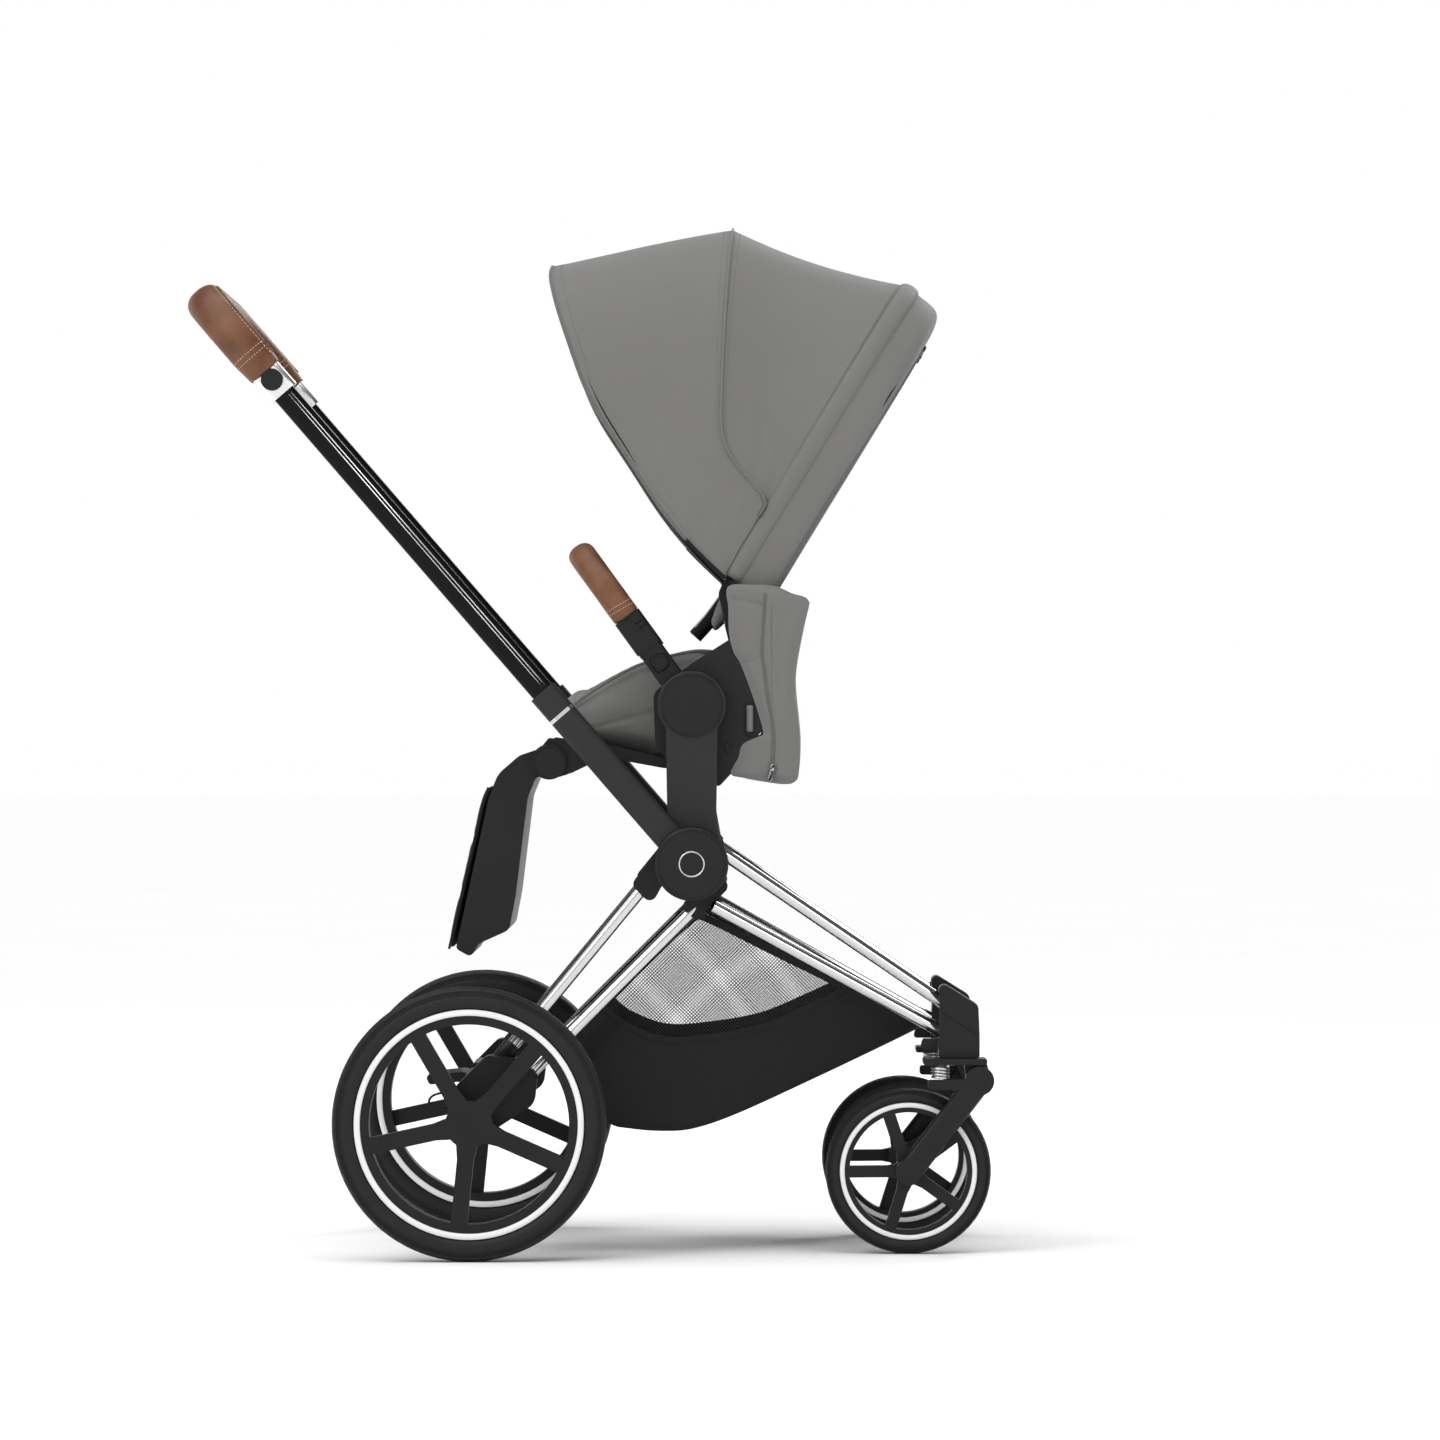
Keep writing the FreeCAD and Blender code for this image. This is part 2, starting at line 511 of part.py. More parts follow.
def gore(radius, half_width, corner, first, last):
    """Hood panel: a thin U-shaped band turned about the hood's pivot between two angles."""
    start, wall = 5.4, HOOD_WALL

    def band(r, w, c):
        slant = c * (1 - math.cos(math.pi / 4))
        return [V(0, -w, start), V(0, -w, r - c), V(0, slant - w, r - slant), V(0, c - w, r),
                V(0, w - c, r), V(0, w - slant, r - slant), V(0, w, r - c), V(0, w, start)]

    outer = band(radius, half_width, corner)
    inner = band(radius - wall, half_width - wall, corner - wall)
    edges = []
    for p in (outer, inner):
        edges += [Part.makeLine(p[0], p[1]), Part.Arc(p[1], p[2], p[3]).toShape(), Part.makeLine(p[3], p[4]),
                  Part.Arc(p[4], p[5], p[6]).toShape(), Part.makeLine(p[6], p[7])]
    edges += [Part.makeLine(outer[0], inner[0]), Part.makeLine(outer[7], inner[7])]
    face = Part.Face(Part.Wire(Part.__sortEdges__(edges)))
    panel = face.revolve(V(0, 0, 0), V(0, 1, 0), first - last)
    panel.rotate(V(0, 0, 0), V(0, 1, 0), 90 - first)
    panel.translate(V(HOOD_PIVOT[0], 0, HOOD_PIVOT[1]))
    return panel


def hood():
    middle = gore(388.5, 186, 112, 58.5, 89.6)
    save("hood_middle", middle)
    front = gore(403, 190, 118, 90, 134)
    ahead = plate([(-45, 1070, 0), (-22, 975, 60), (-3, 909, 60), (43, 841, 80), (103, 758, 80), (149, 700, 0),
                   (-400, 700, 0), (-400, 1300, 0), (-56, 1300, 0)], -250, 250)
    save("hood_front", front.cut(ahead))


# ---- basket ----
def basket():
    wall = 3.0

    def tapered(inset, low, high):
        corners = [(-60, 178 - inset), (130, 178 - inset), (380, 112 - inset)]
        points = [V(x, y, low) for x, y in corners] + [V(x, -y, low) for x, y in reversed(corners)]
        return Part.Face(Part.makePolygon(points + [points[0]])).extrude(V(0, 0, high - low))

    outer = plate([(-22, 237, 6), (16, 140, 30), (73, 133, 60), (106, 135, 60), (155, 152, 60), (236, 188, 60),
                   (304, 220, 40), (353, 243, 4), (118, 362, 10), (104, 362, 10)], -200, 200)
    inner = plate([(-30, 260, 0), (-22 + 3.2, 238, 6), (18, 142.4, 28), (73, 136, 60), (105, 138, 60),
                   (154, 155, 60), (235, 191, 60), (303, 223, 40), (345, 243, 4), (360, 260, 0), (360, 420, 0),
                   (-30, 420, 0)], -200, 200)
    shell = outer.common(tapered(0, 100, 400)).cut(inner.common(tapered(wall, 90, 430)))
    save("basket", shell.removeSplitter())


os.makedirs("parts", exist_ok=True)
front_frame()
castor()
rear_frame()
rear_wheel()
front_wheel()
handle()
seat_frame()
bumper()
seat_base()
leg_rest()
backrest()
hood()
basket()
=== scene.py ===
"""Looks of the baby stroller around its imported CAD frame.

Outlines and places are written in millimetres, and mm() or MM turns them into Blender's metres.
"""

import json
import math

import bmesh
import bpy
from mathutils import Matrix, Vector, noise
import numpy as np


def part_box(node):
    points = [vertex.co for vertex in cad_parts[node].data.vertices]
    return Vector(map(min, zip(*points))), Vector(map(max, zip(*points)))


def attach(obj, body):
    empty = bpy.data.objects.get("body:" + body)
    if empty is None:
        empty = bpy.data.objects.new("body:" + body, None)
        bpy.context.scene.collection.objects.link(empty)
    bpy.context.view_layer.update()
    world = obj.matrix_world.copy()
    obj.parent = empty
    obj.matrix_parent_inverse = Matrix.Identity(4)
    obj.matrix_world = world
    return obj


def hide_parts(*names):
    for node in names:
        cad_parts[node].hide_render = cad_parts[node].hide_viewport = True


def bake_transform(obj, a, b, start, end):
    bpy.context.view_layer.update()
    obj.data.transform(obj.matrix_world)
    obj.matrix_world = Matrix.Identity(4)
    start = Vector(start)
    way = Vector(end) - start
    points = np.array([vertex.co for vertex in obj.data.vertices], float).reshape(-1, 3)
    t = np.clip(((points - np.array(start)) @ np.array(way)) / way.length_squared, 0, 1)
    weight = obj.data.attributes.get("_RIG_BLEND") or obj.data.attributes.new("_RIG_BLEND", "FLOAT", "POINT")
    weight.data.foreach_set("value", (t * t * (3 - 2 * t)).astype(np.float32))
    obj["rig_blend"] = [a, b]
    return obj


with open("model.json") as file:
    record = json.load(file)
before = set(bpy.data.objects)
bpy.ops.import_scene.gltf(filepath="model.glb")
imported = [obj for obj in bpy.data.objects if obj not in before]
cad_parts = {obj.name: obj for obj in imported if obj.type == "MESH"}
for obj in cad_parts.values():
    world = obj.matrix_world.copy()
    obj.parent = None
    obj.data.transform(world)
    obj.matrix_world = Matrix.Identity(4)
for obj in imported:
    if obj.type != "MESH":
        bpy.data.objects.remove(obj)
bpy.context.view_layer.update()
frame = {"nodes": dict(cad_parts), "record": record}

MM = 0.001

# ---- places that the CAD source also holds, in millimetres ----
HUB = (105.0, 418.6)
SEAT_HUB = (105.0, 586.7)
RECLINE = (175.6, 638.0)
BACK_TILT = math.radians(58.6)
HOOD_PIVOT = (149.0, 714.5)
LEG_PIVOT = (-47.5, 526.3)
REAR_AXLE = (-129.4, 145.0)
FRONT_AXLE = (336.5, 88.5)
HANDLE_ANGLE = math.radians(130.9)
HANDLE_Y = 242.0
BUMPER_MOUTH = (84.0, 614.5)
BUMPER_ANGLE = math.radians(126.0)
SIDE_Y = 196.5

# the stroller's left is towards -Y: a left part lies at -sign * y
SIDES = ((1, "left"), (-1, "right"))


# ======== geometry helpers ========
def mm(x, y, z):
    return Vector((x, y, z)) * MM


def lerp(a, b, t):
    return a + (b - a) * t


def smooth(low, high, x):
    """0 below low, 1 above high, and smooth between."""
    t = min(1.0, max(0.0, (x - low) / (high - low)))
    return t * t * (3 - 2 * t)


def table(x, pairs):
    """Smooth interpolation through (x, value) pairs in rising x."""
    if x <= pairs[0][0]:
        return pairs[0][1]
    for i in range(len(pairs) - 1):
        (x0, y0), (x1, y1) = pairs[i], pairs[i + 1]
        if x <= x1:
            before = pairs[i - 1] if i else (2 * x0 - x1, 2 * y0 - y1)
            after = pairs[i + 2] if i + 2 < len(pairs) else (2 * x1 - x0, 2 * y1 - y0)
            m0 = (y1 - before[1]) / (x1 - before[0])
            m1 = (after[1] - y0) / (after[0] - x0)
            h = x1 - x0
            t = (x - x0) / h
            return ((2 * t ** 3 - 3 * t ** 2 + 1) * y0 + (t ** 3 - 2 * t ** 2 + t) * h * m0
                    + (3 * t ** 2 - 2 * t ** 3) * y1 + (t ** 3 - t ** 2) * h * m1)
    return pairs[-1][1]


def signed_power(value, power):
    """A power of a value's size, with the value's sign."""
    return math.copysign(abs(value) ** power, value)


def circle(count):
    """(cosine, sine) of even steps round a circle."""
    return [(math.cos(2 * math.pi * k / count), math.sin(2 * math.pi * k / count)) for k in range(count)]


def length_of(points):
    return sum((b - a).length for a, b in zip(points, points[1:]))


def squared_to(direction, along):
    """The part of a direction that is square to another, as a unit vector."""
    return (direction - along * direction.dot(along)).normalized()


def flat(points):
    """Vectors in the XZ plane, in mm, from (x, z) pairs."""
    return [Vector((x, 0, z)) for x, z in points]


def evenly(points, count):
    """count points spaced evenly along a polyline."""
    reach = [0.0]
    for a, b in zip(points, points[1:]):
        reach.append(reach[-1] + (b - a).length)
    out, i = [], 0
    for n in range(count):
        want = reach[-1] * n / (count - 1)
        while i < len(points) - 2 and reach[i + 1] < want:
            i += 1
        span = max(1e-9, reach[i + 1] - reach[i])
        out.append(points[i].lerp(points[i + 1], (want - reach[i]) / span))
    return out


def through(points, count, closed=False):
    """count points on a smooth curve through the given ones."""
    points = [Vector(p) for p in points]
    last = len(points) if closed else len(points) - 1
    dense = []
    for i in range(last):
        p1, p2 = points[i], points[(i + 1) % len(points)]
        p0 = points[i - 1] if i or closed else p1 * 2 - p2
        p3 = points[(i + 2) % len(points)] if i + 2 < len(points) or closed else p2 * 2 - p1
        for k in range(12):
            t = k / 12
            dense.append(0.5 * (2 * p1 + (p2 - p0) * t + (2 * p0 - 5 * p1 + 4 * p2 - p3) * t ** 2
                                + (3 * p1 - p0 - 3 * p2 + p3) * t ** 3))
    dense.append(points[0] if closed else points[-1])
    out = evenly(dense, count + 1 if closed else count)
    return out[:-1] if closed else out


def back(up, forward):
    """XZ point in mm on the backrest: up along it from the recline hinge, forward to the child."""
    return (RECLINE[0] + up * math.cos(BACK_TILT) - forward * math.sin(BACK_TILT),
            RECLINE[1] + up * math.sin(BACK_TILT) + forward * math.cos(BACK_TILT))


def at_back(up, forward, y):
    """The same as a point in metres, at a y in mm."""
    x, z = back(up, forward)
    return mm(x, y, z)


def on_line(origin, angle, distance, side=0.0):
    """XZ point in mm at a distance from an origin in a direction, shifted to its right side."""
    return (origin[0] + distance * math.cos(angle) + side * math.sin(angle),
            origin[1] + distance * math.sin(angle) - side * math.cos(angle))


def add(name, vertices, faces, smooth_shaded=True):
    mesh = bpy.data.meshes.new(name)
    mesh.from_pydata([tuple(v) for v in vertices], [], faces)
    mesh.update()
    for p in mesh.polygons:
        p.use_smooth = smooth_shaded
    obj = bpy.data.objects.new(name, mesh)
    bpy.context.scene.collection.objects.link(obj)
    return obj


def grid_faces(rows, columns, wrap_rows=False, wrap_columns=False, first=0):
    faces = []
    for r in range(rows if wrap_rows else rows - 1):
        for c in range(columns if wrap_columns else columns - 1):
            r1, c1 = (r + 1) % rows, (c + 1) % columns
            faces.append((first + r * columns + c, first + r1 * columns + c,
                          first + r1 * columns + c1, first + r * columns + c1))
    return faces


def grid(name, rows, wrap_rows=False, wrap_columns=False):
    """Surface through rows of points."""
    vertices = [p for row in rows for p in row]
    return add(name, vertices, grid_faces(len(rows), len(rows[0]), wrap_rows, wrap_columns))


def tube_parts(points, section, normal=None, closed=False, first=0):
    """Vertices and faces of a tube. section(i) gives (side, up) offsets, normal fixes the up direction."""
    vertices, count = [], len(points)
    up = None
    for i, p in enumerate(points):
        before = points[i - 1] if i or closed else p
        after = points[(i + 1) % count] if i + 1 < count or closed else p
        along = (after - before).normalized()
        if normal is not None:
            up = Vector(normal(i) if callable(normal) else normal)
        elif up is None:
            up = Vector((0, 0, 1)) if abs(along.z) < 0.9 else Vector((0, 1, 0))
        up = squared_to(up, along)
        side = along.cross(up)
        vertices += [p + side * s + up * u for s, u in section(i)]
    sides = len(section(0))
    faces = grid_faces(count, sides, closed, True, first)
    if not closed:
        faces.append(tuple(first + k for k in range(sides)))
        faces.append(tuple(first + (count - 1) * sides + k for k in reversed(range(sides))))
    return vertices, faces


def round_section(radius, sides=12):
    ring = [(radius * c, radius * s) for c, s in circle(sides)]
    return lambda i: ring


def oval_section(wide, tall, sides=24, power=2.0):
    """Superellipse section; power above 2 makes it squarer."""
    ring = [(wide / 2 * signed_power(c, 2 / power), tall / 2 * signed_power(s, 2 / power))
            for c, s in circle(sides)]
    return lambda i: ring


def tube(name, points, section, normal=None, closed=False):
    vertices, faces = tube_parts(points, section, normal, closed)
    return add(name, vertices, faces)


def tubes(name, paths, section, normal=None, closed=False):
    """Several tubes as one piece."""
    vertices, faces = [], []
    for points in paths:
        more, their = tube_parts(points, section, normal, closed, len(vertices))
        vertices += more
        faces += their
    return add(name, vertices, faces)


def revolved(name, profile, centre, y, segments, bump=None):
    """Ring about a Y axis from (radius, y offset) points in mm; bump(segment, point) changes a radius."""
    rows = []
    for segment, (c, s) in enumerate(circle(segments)):
        row = []
        for n, (r, dy) in enumerate(profile):
            r += bump(segment, n) if bump else 0.0
            row.append(mm(centre[0] + r * c, y + dy, centre[1] + r * s))
        rows.append(row)
    return grid(name, rows, True, True)


def raised_ring(name, radii, lift, centre, y, segments):
    """Low ring on a face: of its four radii in mm, the middle two are lifted."""
    a, b, c, d = radii
    return revolved(name, [(a, 0.0), (b, lift), (c, lift), (d, 0.0)], centre, y, segments)


def modify(obj, kind, **settings):
    modifier = obj.modifiers.new(kind.title(), kind)
    for key, value in settings.items():
        setattr(modifier, key, value)
    return modifier


def settle(obj):
    """Applies every modifier of a piece."""
    bpy.context.view_layer.update()
    shown = obj.evaluated_get(bpy.context.evaluated_depsgraph_get())
    mesh = bpy.data.meshes.new_from_object(shown)
    mesh.name = obj.name
    obj.modifiers.clear()
    old = obj.data
    obj.data = mesh
    bpy.data.meshes.remove(old)
    for p in mesh.polygons:
        p.use_smooth = True
    return obj


def joined(name, *objects):
    """Several pieces of one material as one."""
    vertices, faces = [], []
    for obj in objects:
        first = len(vertices)
        vertices += [v.co.copy() for v in obj.data.vertices]
        faces += [tuple(first + k for k in p.vertices) for p in obj.data.polygons]
        bpy.data.objects.remove(obj)
    return add(name, vertices, faces)


def give(obj, material, body=None, replaces=()):
    """Material, body and the CAD nodes that the piece stands for; no body if it is blended later."""
    obj.data.materials.clear()
    obj.data.materials.append(material)
    if body:
        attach(obj, body)
    if replaces:
        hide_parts(*replaces)
    return obj


def stitches(name, paths, pitch=4.2 * MM, share=0.62, radius=0.42 * MM):
    """Thread stitches laid along paths, one small spindle each."""
    vertices, faces = [], []
    sides = 6
    for points in paths:
        count = max(2, int(length_of(points) / pitch))
        fine = evenly(points, count * 4 + 1)
        for n in range(count):
            a, b = fine[4 * n], fine[4 * n + 4]
            along = (b - a).normalized()
            up = squared_to(Vector((0, 1, 0)) if abs(along.y) < 0.8 else Vector((1, 0, 0)), along)
            side = along.cross(up)
            first = len(vertices)
            for at, size in ((0.0, 0.35), (0.2, 1.0), (0.8, 1.0), (1.0, 0.35)):
                middle = a.lerp(b, (1 - share) / 2 + share * at)
                vertices += [middle + (side * c + up * s) * radius * size for c, s in circle(sides)]
            faces += grid_faces(4, sides, False, True, first)
            faces.append(tuple(first + k for k in range(sides)))
            faces.append(tuple(first + 3 * sides + k for k in reversed(range(sides))))
    return add(name, vertices, faces)


def inflate(obj, voxel=5 * MM, pressure=4.0, cap=8 * MM, frames=20):
    """Puffs a closed form with a cloth simulation, then subdivides it once."""
    modify(obj, "REMESH", mode="VOXEL", voxel_size=voxel)
    settle(obj)
    start = [v.co.copy() for v in obj.data.vertices]
    scene = bpy.context.scene
    cloth = modify(obj, "CLOTH")
    cloth.settings.quality = 5
    cloth.settings.mass = 0.3
    cloth.settings.tension_stiffness = 15
    cloth.settings.compression_stiffness = 15
    cloth.settings.bending_stiffness = 0.6
    cloth.settings.use_pressure = True
    cloth.settings.uniform_pressure_force = pressure
    cloth.settings.effector_weights.gravity = 0
    cloth.point_cache.frame_start = 1
    cloth.point_cache.frame_end = frames
    for n in range(1, frames + 1):
        scene.frame_set(n)
    settle(obj)
    for v, old in zip(obj.data.vertices, start):
        move = v.co - old
        if move.length > cap:
            v.co = old + move * (cap / move.length)
    scene.frame_set(1)
    modify(obj, "SMOOTH", factor=0.5, iterations=3)
    modify(obj, "SUBSURF", levels=1, render_levels=1)
    return settle(obj)


def press(obj, change):
    """Moves each vertex by change(point), as a seam, channel or dent does."""
    for v in obj.data.vertices:
        v.co += change(v.co)
    obj.data.update()


# ======== materials ========
class Nodes:
    """A short way to write a node material."""

    def __init__(self, name):
        self.material = bpy.data.materials.new(name)
        self.material.use_nodes = True
        self.tree = self.material.node_tree
        self.shader = self.tree.nodes["Principled BSDF"]

    def node(self, kind, **inputs):
        made = self.tree.nodes.new("ShaderNode" + kind)
        for key, value in inputs.items():
            if hasattr(made, key) and key not in made.inputs:
                setattr(made, key, value)
                continue
            socket = made.inputs[int(key[1:])] if key[0] == "i" and key[1:].isdigit() else made.inputs[key]
            self.put(value, socket)
        return made

    def put(self, value, socket):
        if isinstance(value, bpy.types.NodeSocket):
            self.tree.links.new(value, socket)
        else:
            socket.default_value = value

    def math(self, operation, a, b=0.0, clamp=False):
        made = self.tree.nodes.new("ShaderNodeMath")
        made.operation = operation
        made.use_clamp = clamp
        self.put(a, made.inputs[0])
        self.put(b, made.inputs[1])
        return made.outputs[0]

    def mix(self, share, a, b):
        made = self.tree.nodes.new("ShaderNodeMix")
        made.data_type = "RGBA"
        self.put(share, made.inputs[0])
        self.put(a if not isinstance(a, tuple) else (*a, 1.0)[:4], made.inputs[6])
        self.put(b if not isinstance(b, tuple) else (*b, 1.0)[:4], made.inputs[7])
        return made.outputs[2]

    def place(self):
        return self.node("TexCoord").outputs["Object"]

    def noise(self, scale, detail=3.0, vector=None, roughness=0.5):
        made = self.node("TexNoise", Scale=scale, Detail=detail, Roughness=roughness)
        self.put(vector or self.place(), made.inputs["Vector"])
        return made.outputs[0]

    def between(self, value, low, high, from_low=0.0, from_high=1.0):
        made = self.tree.nodes.new("ShaderNodeMapRange")
        self.put(value, made.inputs[0])
        for k, number in enumerate((from_low, from_high, low, high)):
            made.inputs[k + 1].default_value = number
        return made.outputs[0]

    def bump(self, height, strength, distance):
        made = self.node("Bump", Strength=strength, Distance=distance)
        self.put(height, made.inputs["Height"])
        self.put(made.outputs[0], self.shader.inputs["Normal"])

    def set(self, **values):
        for key, value in values.items():
            self.put(value, self.shader.inputs[key.replace("_", " ")])
        return self.material


def weave(n, pitch):
    """Plain weave of a pitch in metres, laid on whichever plane the surface faces."""
    place = n.node("SeparateXYZ", Vector=n.place())
    facing = n.node("SeparateXYZ", Vector=n.node("TexCoord").outputs["Normal"])
    turns = 2 * math.pi / pitch
    waves = [n.math("SINE", n.math("MULTIPLY", place.outputs[k], turns)) for k in range(3)]
    shares = [n.math("POWER", n.math("ABSOLUTE", facing.outputs[k]), 3.0) for k in range(3)]
    total = n.math("ADD", n.math("ADD", shares[0], shares[1]), n.math("ADD", shares[2], 0.001))
    made = 0.0
    for k in range(3):
        cloth = n.math("MULTIPLY", waves[(k + 1) % 3], waves[(k + 2) % 3])
        made = n.math("ADD", made, n.math("MULTIPLY", cloth, shares[k]))
    return n.math("DIVIDE", made, total)


def fabric(name, dark, light, pitch=1.1 * MM, sheen=0.25, rough=0.86):
    """Woven cloth: heathered yarns, a slow drift of tone and a bump from the weave."""
    n = Nodes(name)
    yarn = n.noise(1500.0, 2.0)
    drift = n.noise(9.0, 3.0)
    woven = weave(n, pitch)
    share = n.math("ADD", n.math("MULTIPLY", yarn, 0.62), n.math("MULTIPLY", drift, 0.38))
    share = n.math("ADD", share, n.math("MULTIPLY", woven, 0.16), True)
    height = n.math("ADD", n.math("MULTIPLY", woven, 0.6), n.noise(420.0, 4.0))
    n.bump(height, 0.35, 0.4 * MM)
    return n.set(Base_Color=n.mix(share, dark, light), Roughness=n.between(drift, rough - 0.05, rough + 0.06),
                 Sheen_Weight=sheen, Sheen_Roughness=0.45, Specular_IOR_Level=0.25)


def leather(name):
    """Brown grained leather, paler where it is rubbed."""
    n = Nodes(name)
    cells = n.node("TexVoronoi", Scale=620.0, feature="DISTANCE_TO_EDGE")
    n.put(n.place(), cells.inputs["Vector"])
    grain = n.between(cells.outputs[0], 0.0, 1.0, 0.0, 0.12)
    cloud = n.noise(34.0, 4.0)
    pores = n.noise(1900.0, 2.0)
    tone = n.mix(n.between(cloud, 0.0, 1.0, 0.36, 0.64), (0.130, 0.047, 0.018), (0.225, 0.092, 0.040))
    tone = n.mix(n.math("MULTIPLY", grain, 0.35), n.mix(0.45, tone, (0.07, 0.025, 0.01)), tone)
    n.bump(n.math("ADD", grain, n.math("MULTIPLY", pores, 0.35)), 0.16, 0.30 * MM)
    return n.set(Base_Color=tone, Roughness=n.between(cloud, 0.40, 0.56),
                 Specular_IOR_Level=0.35, Coat_Weight=0.06, Coat_Roughness=0.35)


def plastic(name, dark, light, rough=0.42, grain=0.12, scale=1400.0, specular=0.22):
    """Moulded plastic with a fine spark-eroded grain."""
    n = Nodes(name)
    cloud = n.noise(22.0, 3.0)
    fine = n.noise(scale, 2.0)
    if grain:
        n.bump(fine, grain, 0.15 * MM)
    return n.set(Base_Color=n.mix(cloud, dark, light), Roughness=n.between(fine, rough - 0.07, rough + 0.07),
                 Specular_IOR_Level=specular)


def metal(name, colour, rough, grain=0.03, scale=900.0):
    """Plated or drawn metal with faint smears in its polish."""
    n = Nodes(name)
    smear = n.noise(60.0, 4.0)
    fine = n.noise(scale, 2.0)
    if grain:
        n.bump(fine, grain, 0.05 * MM)
    return n.set(Base_Color=n.mix(smear, tuple(0.93 * c for c in colour), colour),
                 Roughness=n.between(smear, max(0.02, rough - 0.04), rough + 0.05),
                 Metallic=1.0)


def rubber(name):
    """Black tyre rubber with a little dust."""
    n = Nodes(name)
    dust = n.noise(70.0, 4.0)
    fine = n.noise(1100.0, 3.0)
    n.bump(fine, 0.25, 0.2 * MM)
    return n.set(Base_Color=n.mix(dust, (0.008, 0.008, 0.0085), (0.017, 0.017, 0.0175)),
                 Roughness=n.between(dust, 0.48, 0.66),
                 Specular_IOR_Level=0.22)


GREY_CLOTH = fabric("grey_cloth", (0.128, 0.127, 0.122), (0.184, 0.182, 0.175))
GREY_TRIM = fabric("grey_trim", (0.105, 0.104, 0.100), (0.150, 0.149, 0.143), pitch=0.8 * MM)
BLACK_CLOTH = fabric("black_cloth", (0.0065, 0.0065, 0.0070), (0.0135, 0.0135, 0.0140), sheen=0.05)
WEBBING = fabric("webbing", (0.012, 0.012, 0.013), (0.030, 0.030, 0.031), pitch=2.0 * MM, sheen=0.12)
LEATHER = leather("leather")
THREAD = fabric("cream_thread", (0.50, 0.40, 0.30), (0.66, 0.55, 0.43), pitch=0.5 * MM, sheen=0.1)
GREY_THREAD = fabric("grey_thread", (0.115, 0.114, 0.110), (0.165, 0.163, 0.157), pitch=0.5 * MM, sheen=0.1)
BLACK_PLASTIC = plastic("black_plastic", (0.0075, 0.0073, 0.0078), (0.0125, 0.0122, 0.0128))
DARK_COAT = plastic("dark_coat", (0.0125, 0.0125, 0.0130), (0.0190, 0.0190, 0.0195), rough=0.48,
                    scale=2600.0, specular=0.28)
GLOSS_BLACK = plastic("gloss_black", (0.0030, 0.0030, 0.0032), (0.0045, 0.0045, 0.0048), rough=0.22,
                      grain=0.0, specular=0.14)
RIM_PLASTIC = plastic("rim_plastic", (0.0065, 0.0065, 0.0068), (0.0115, 0.0115, 0.0120), rough=0.42)
CHROME = metal("chrome", (0.63, 0.63, 0.64), 0.11, grain=0.0)
BRACKET = metal("bracket_silver", (0.88, 0.88, 0.87), 0.26)
STEEL = metal("spring_steel", (0.55, 0.55, 0.56), 0.30)
ALUMINIUM = metal("aluminium", (0.50, 0.50, 0.51), 0.38, grain=0.08)
RUBBER = rubber("rubber")
WHITE_BAND = plastic("white_band", (0.74, 0.74, 0.73), (0.80, 0.80, 0.79), rough=0.35)
EMBLEM = metal("emblem", (0.62, 0.62, 0.62), 0.25)
SLOT_GREY = plastic("slot_grey", (0.12, 0.12, 0.12), (0.17, 0.17, 0.17), rough=0.35)
REFLECTIVE = plastic("reflective_edge", (0.42, 0.42, 0.43), (0.52, 0.52, 0.53), rough=0.3)

CAD_LOOKS = {
    "chrome_tubes": CHROME,
    "black_plastic": BLACK_PLASTIC,
    "dark_grey_coat": DARK_COAT,
    "gloss_black": GLOSS_BLACK,
    "chrome_trim": CHROME,
    "bracket_silver": BRACKET,
    "spring_steel": STEEL,
    "frame_aluminium": ALUMINIUM,
    "brown_leather": LEATHER,
    "tyre_rubber": RUBBER,
    "rim_plastic": RIM_PLASTIC,
    "grey_fabric": GREY_CLOTH,
    "black_fabric": BLACK_CLOTH,
}
# edge radius in mm of the moulded nodes, without the side at the end of their names
BEVELS = {
    "rear_rim": 1.8, "front_rim": 1.4, "side_plates": 1.5, "seat_posts": 2.2, "rear_housings": 2.0,
    "front_housings": 1.5, "castor_sockets": 1.2, "castor_yoke": 1.2, "rear_cross_beam": 1.2, "brake_pedal": 1.5,
    "seat_pan": 1.0, "leg_rest_shell": 6.0, "seat_hub_discs": 0.6, "swivel_lock": 1.5, "hub_cores": 0.8,
    "rear_knuckles": 1.0, "handle_button": 1.2, "bumper_button": 0.8, "backrest_board": 0.8,
    "handle_brackets": 0.6, "bumper_sockets": 0.6, "fork_arm": 0.8,
}


def dress_cad():
    """Every CAD node takes its slot's look, and moulded ones a small edge radius."""
    slots = {row["node"]: row["material_slot"] for row in frame["record"]["subparts"]}
    for name, obj in frame["nodes"].items():
        look = CAD_LOOKS[slots[name]]
        if obj.data.materials:
            for k in range(len(obj.data.materials)):
                obj.data.materials[k] = look
        else:
            obj.data.materials.append(look)
        width = BEVELS.get(name.removesuffix("_left").removesuffix("_right"))
        if width:
            modify(obj, "WELD", merge_threshold=0.01 * MM)
            modify(obj, "BEVEL", width=width * MM, segments=2 if width < 4 else 5, limit_method="ANGLE",
                   angle_limit=math.radians(32), harden_normals=False)


# ======== hood ========
HOOD_REAR_HALF = 183.0
HOOD_MIDDLE_HALF = 186.0
HOOD_FRONT_HALF = 189.0
# reach of each bow from the pivot
REAR_REACH = 377.0
MIDDLE_REACH = 388.5
FRONT_REACH = 400.5
HOOD_POWER = 3.3
# depths on the backrest, and the height of the zip's top and foot
RIDGE_AT = 76.0
ZIP_AT = 21.5
ZIP_TOP = 384.0
ZIP_FOOT = 51.0
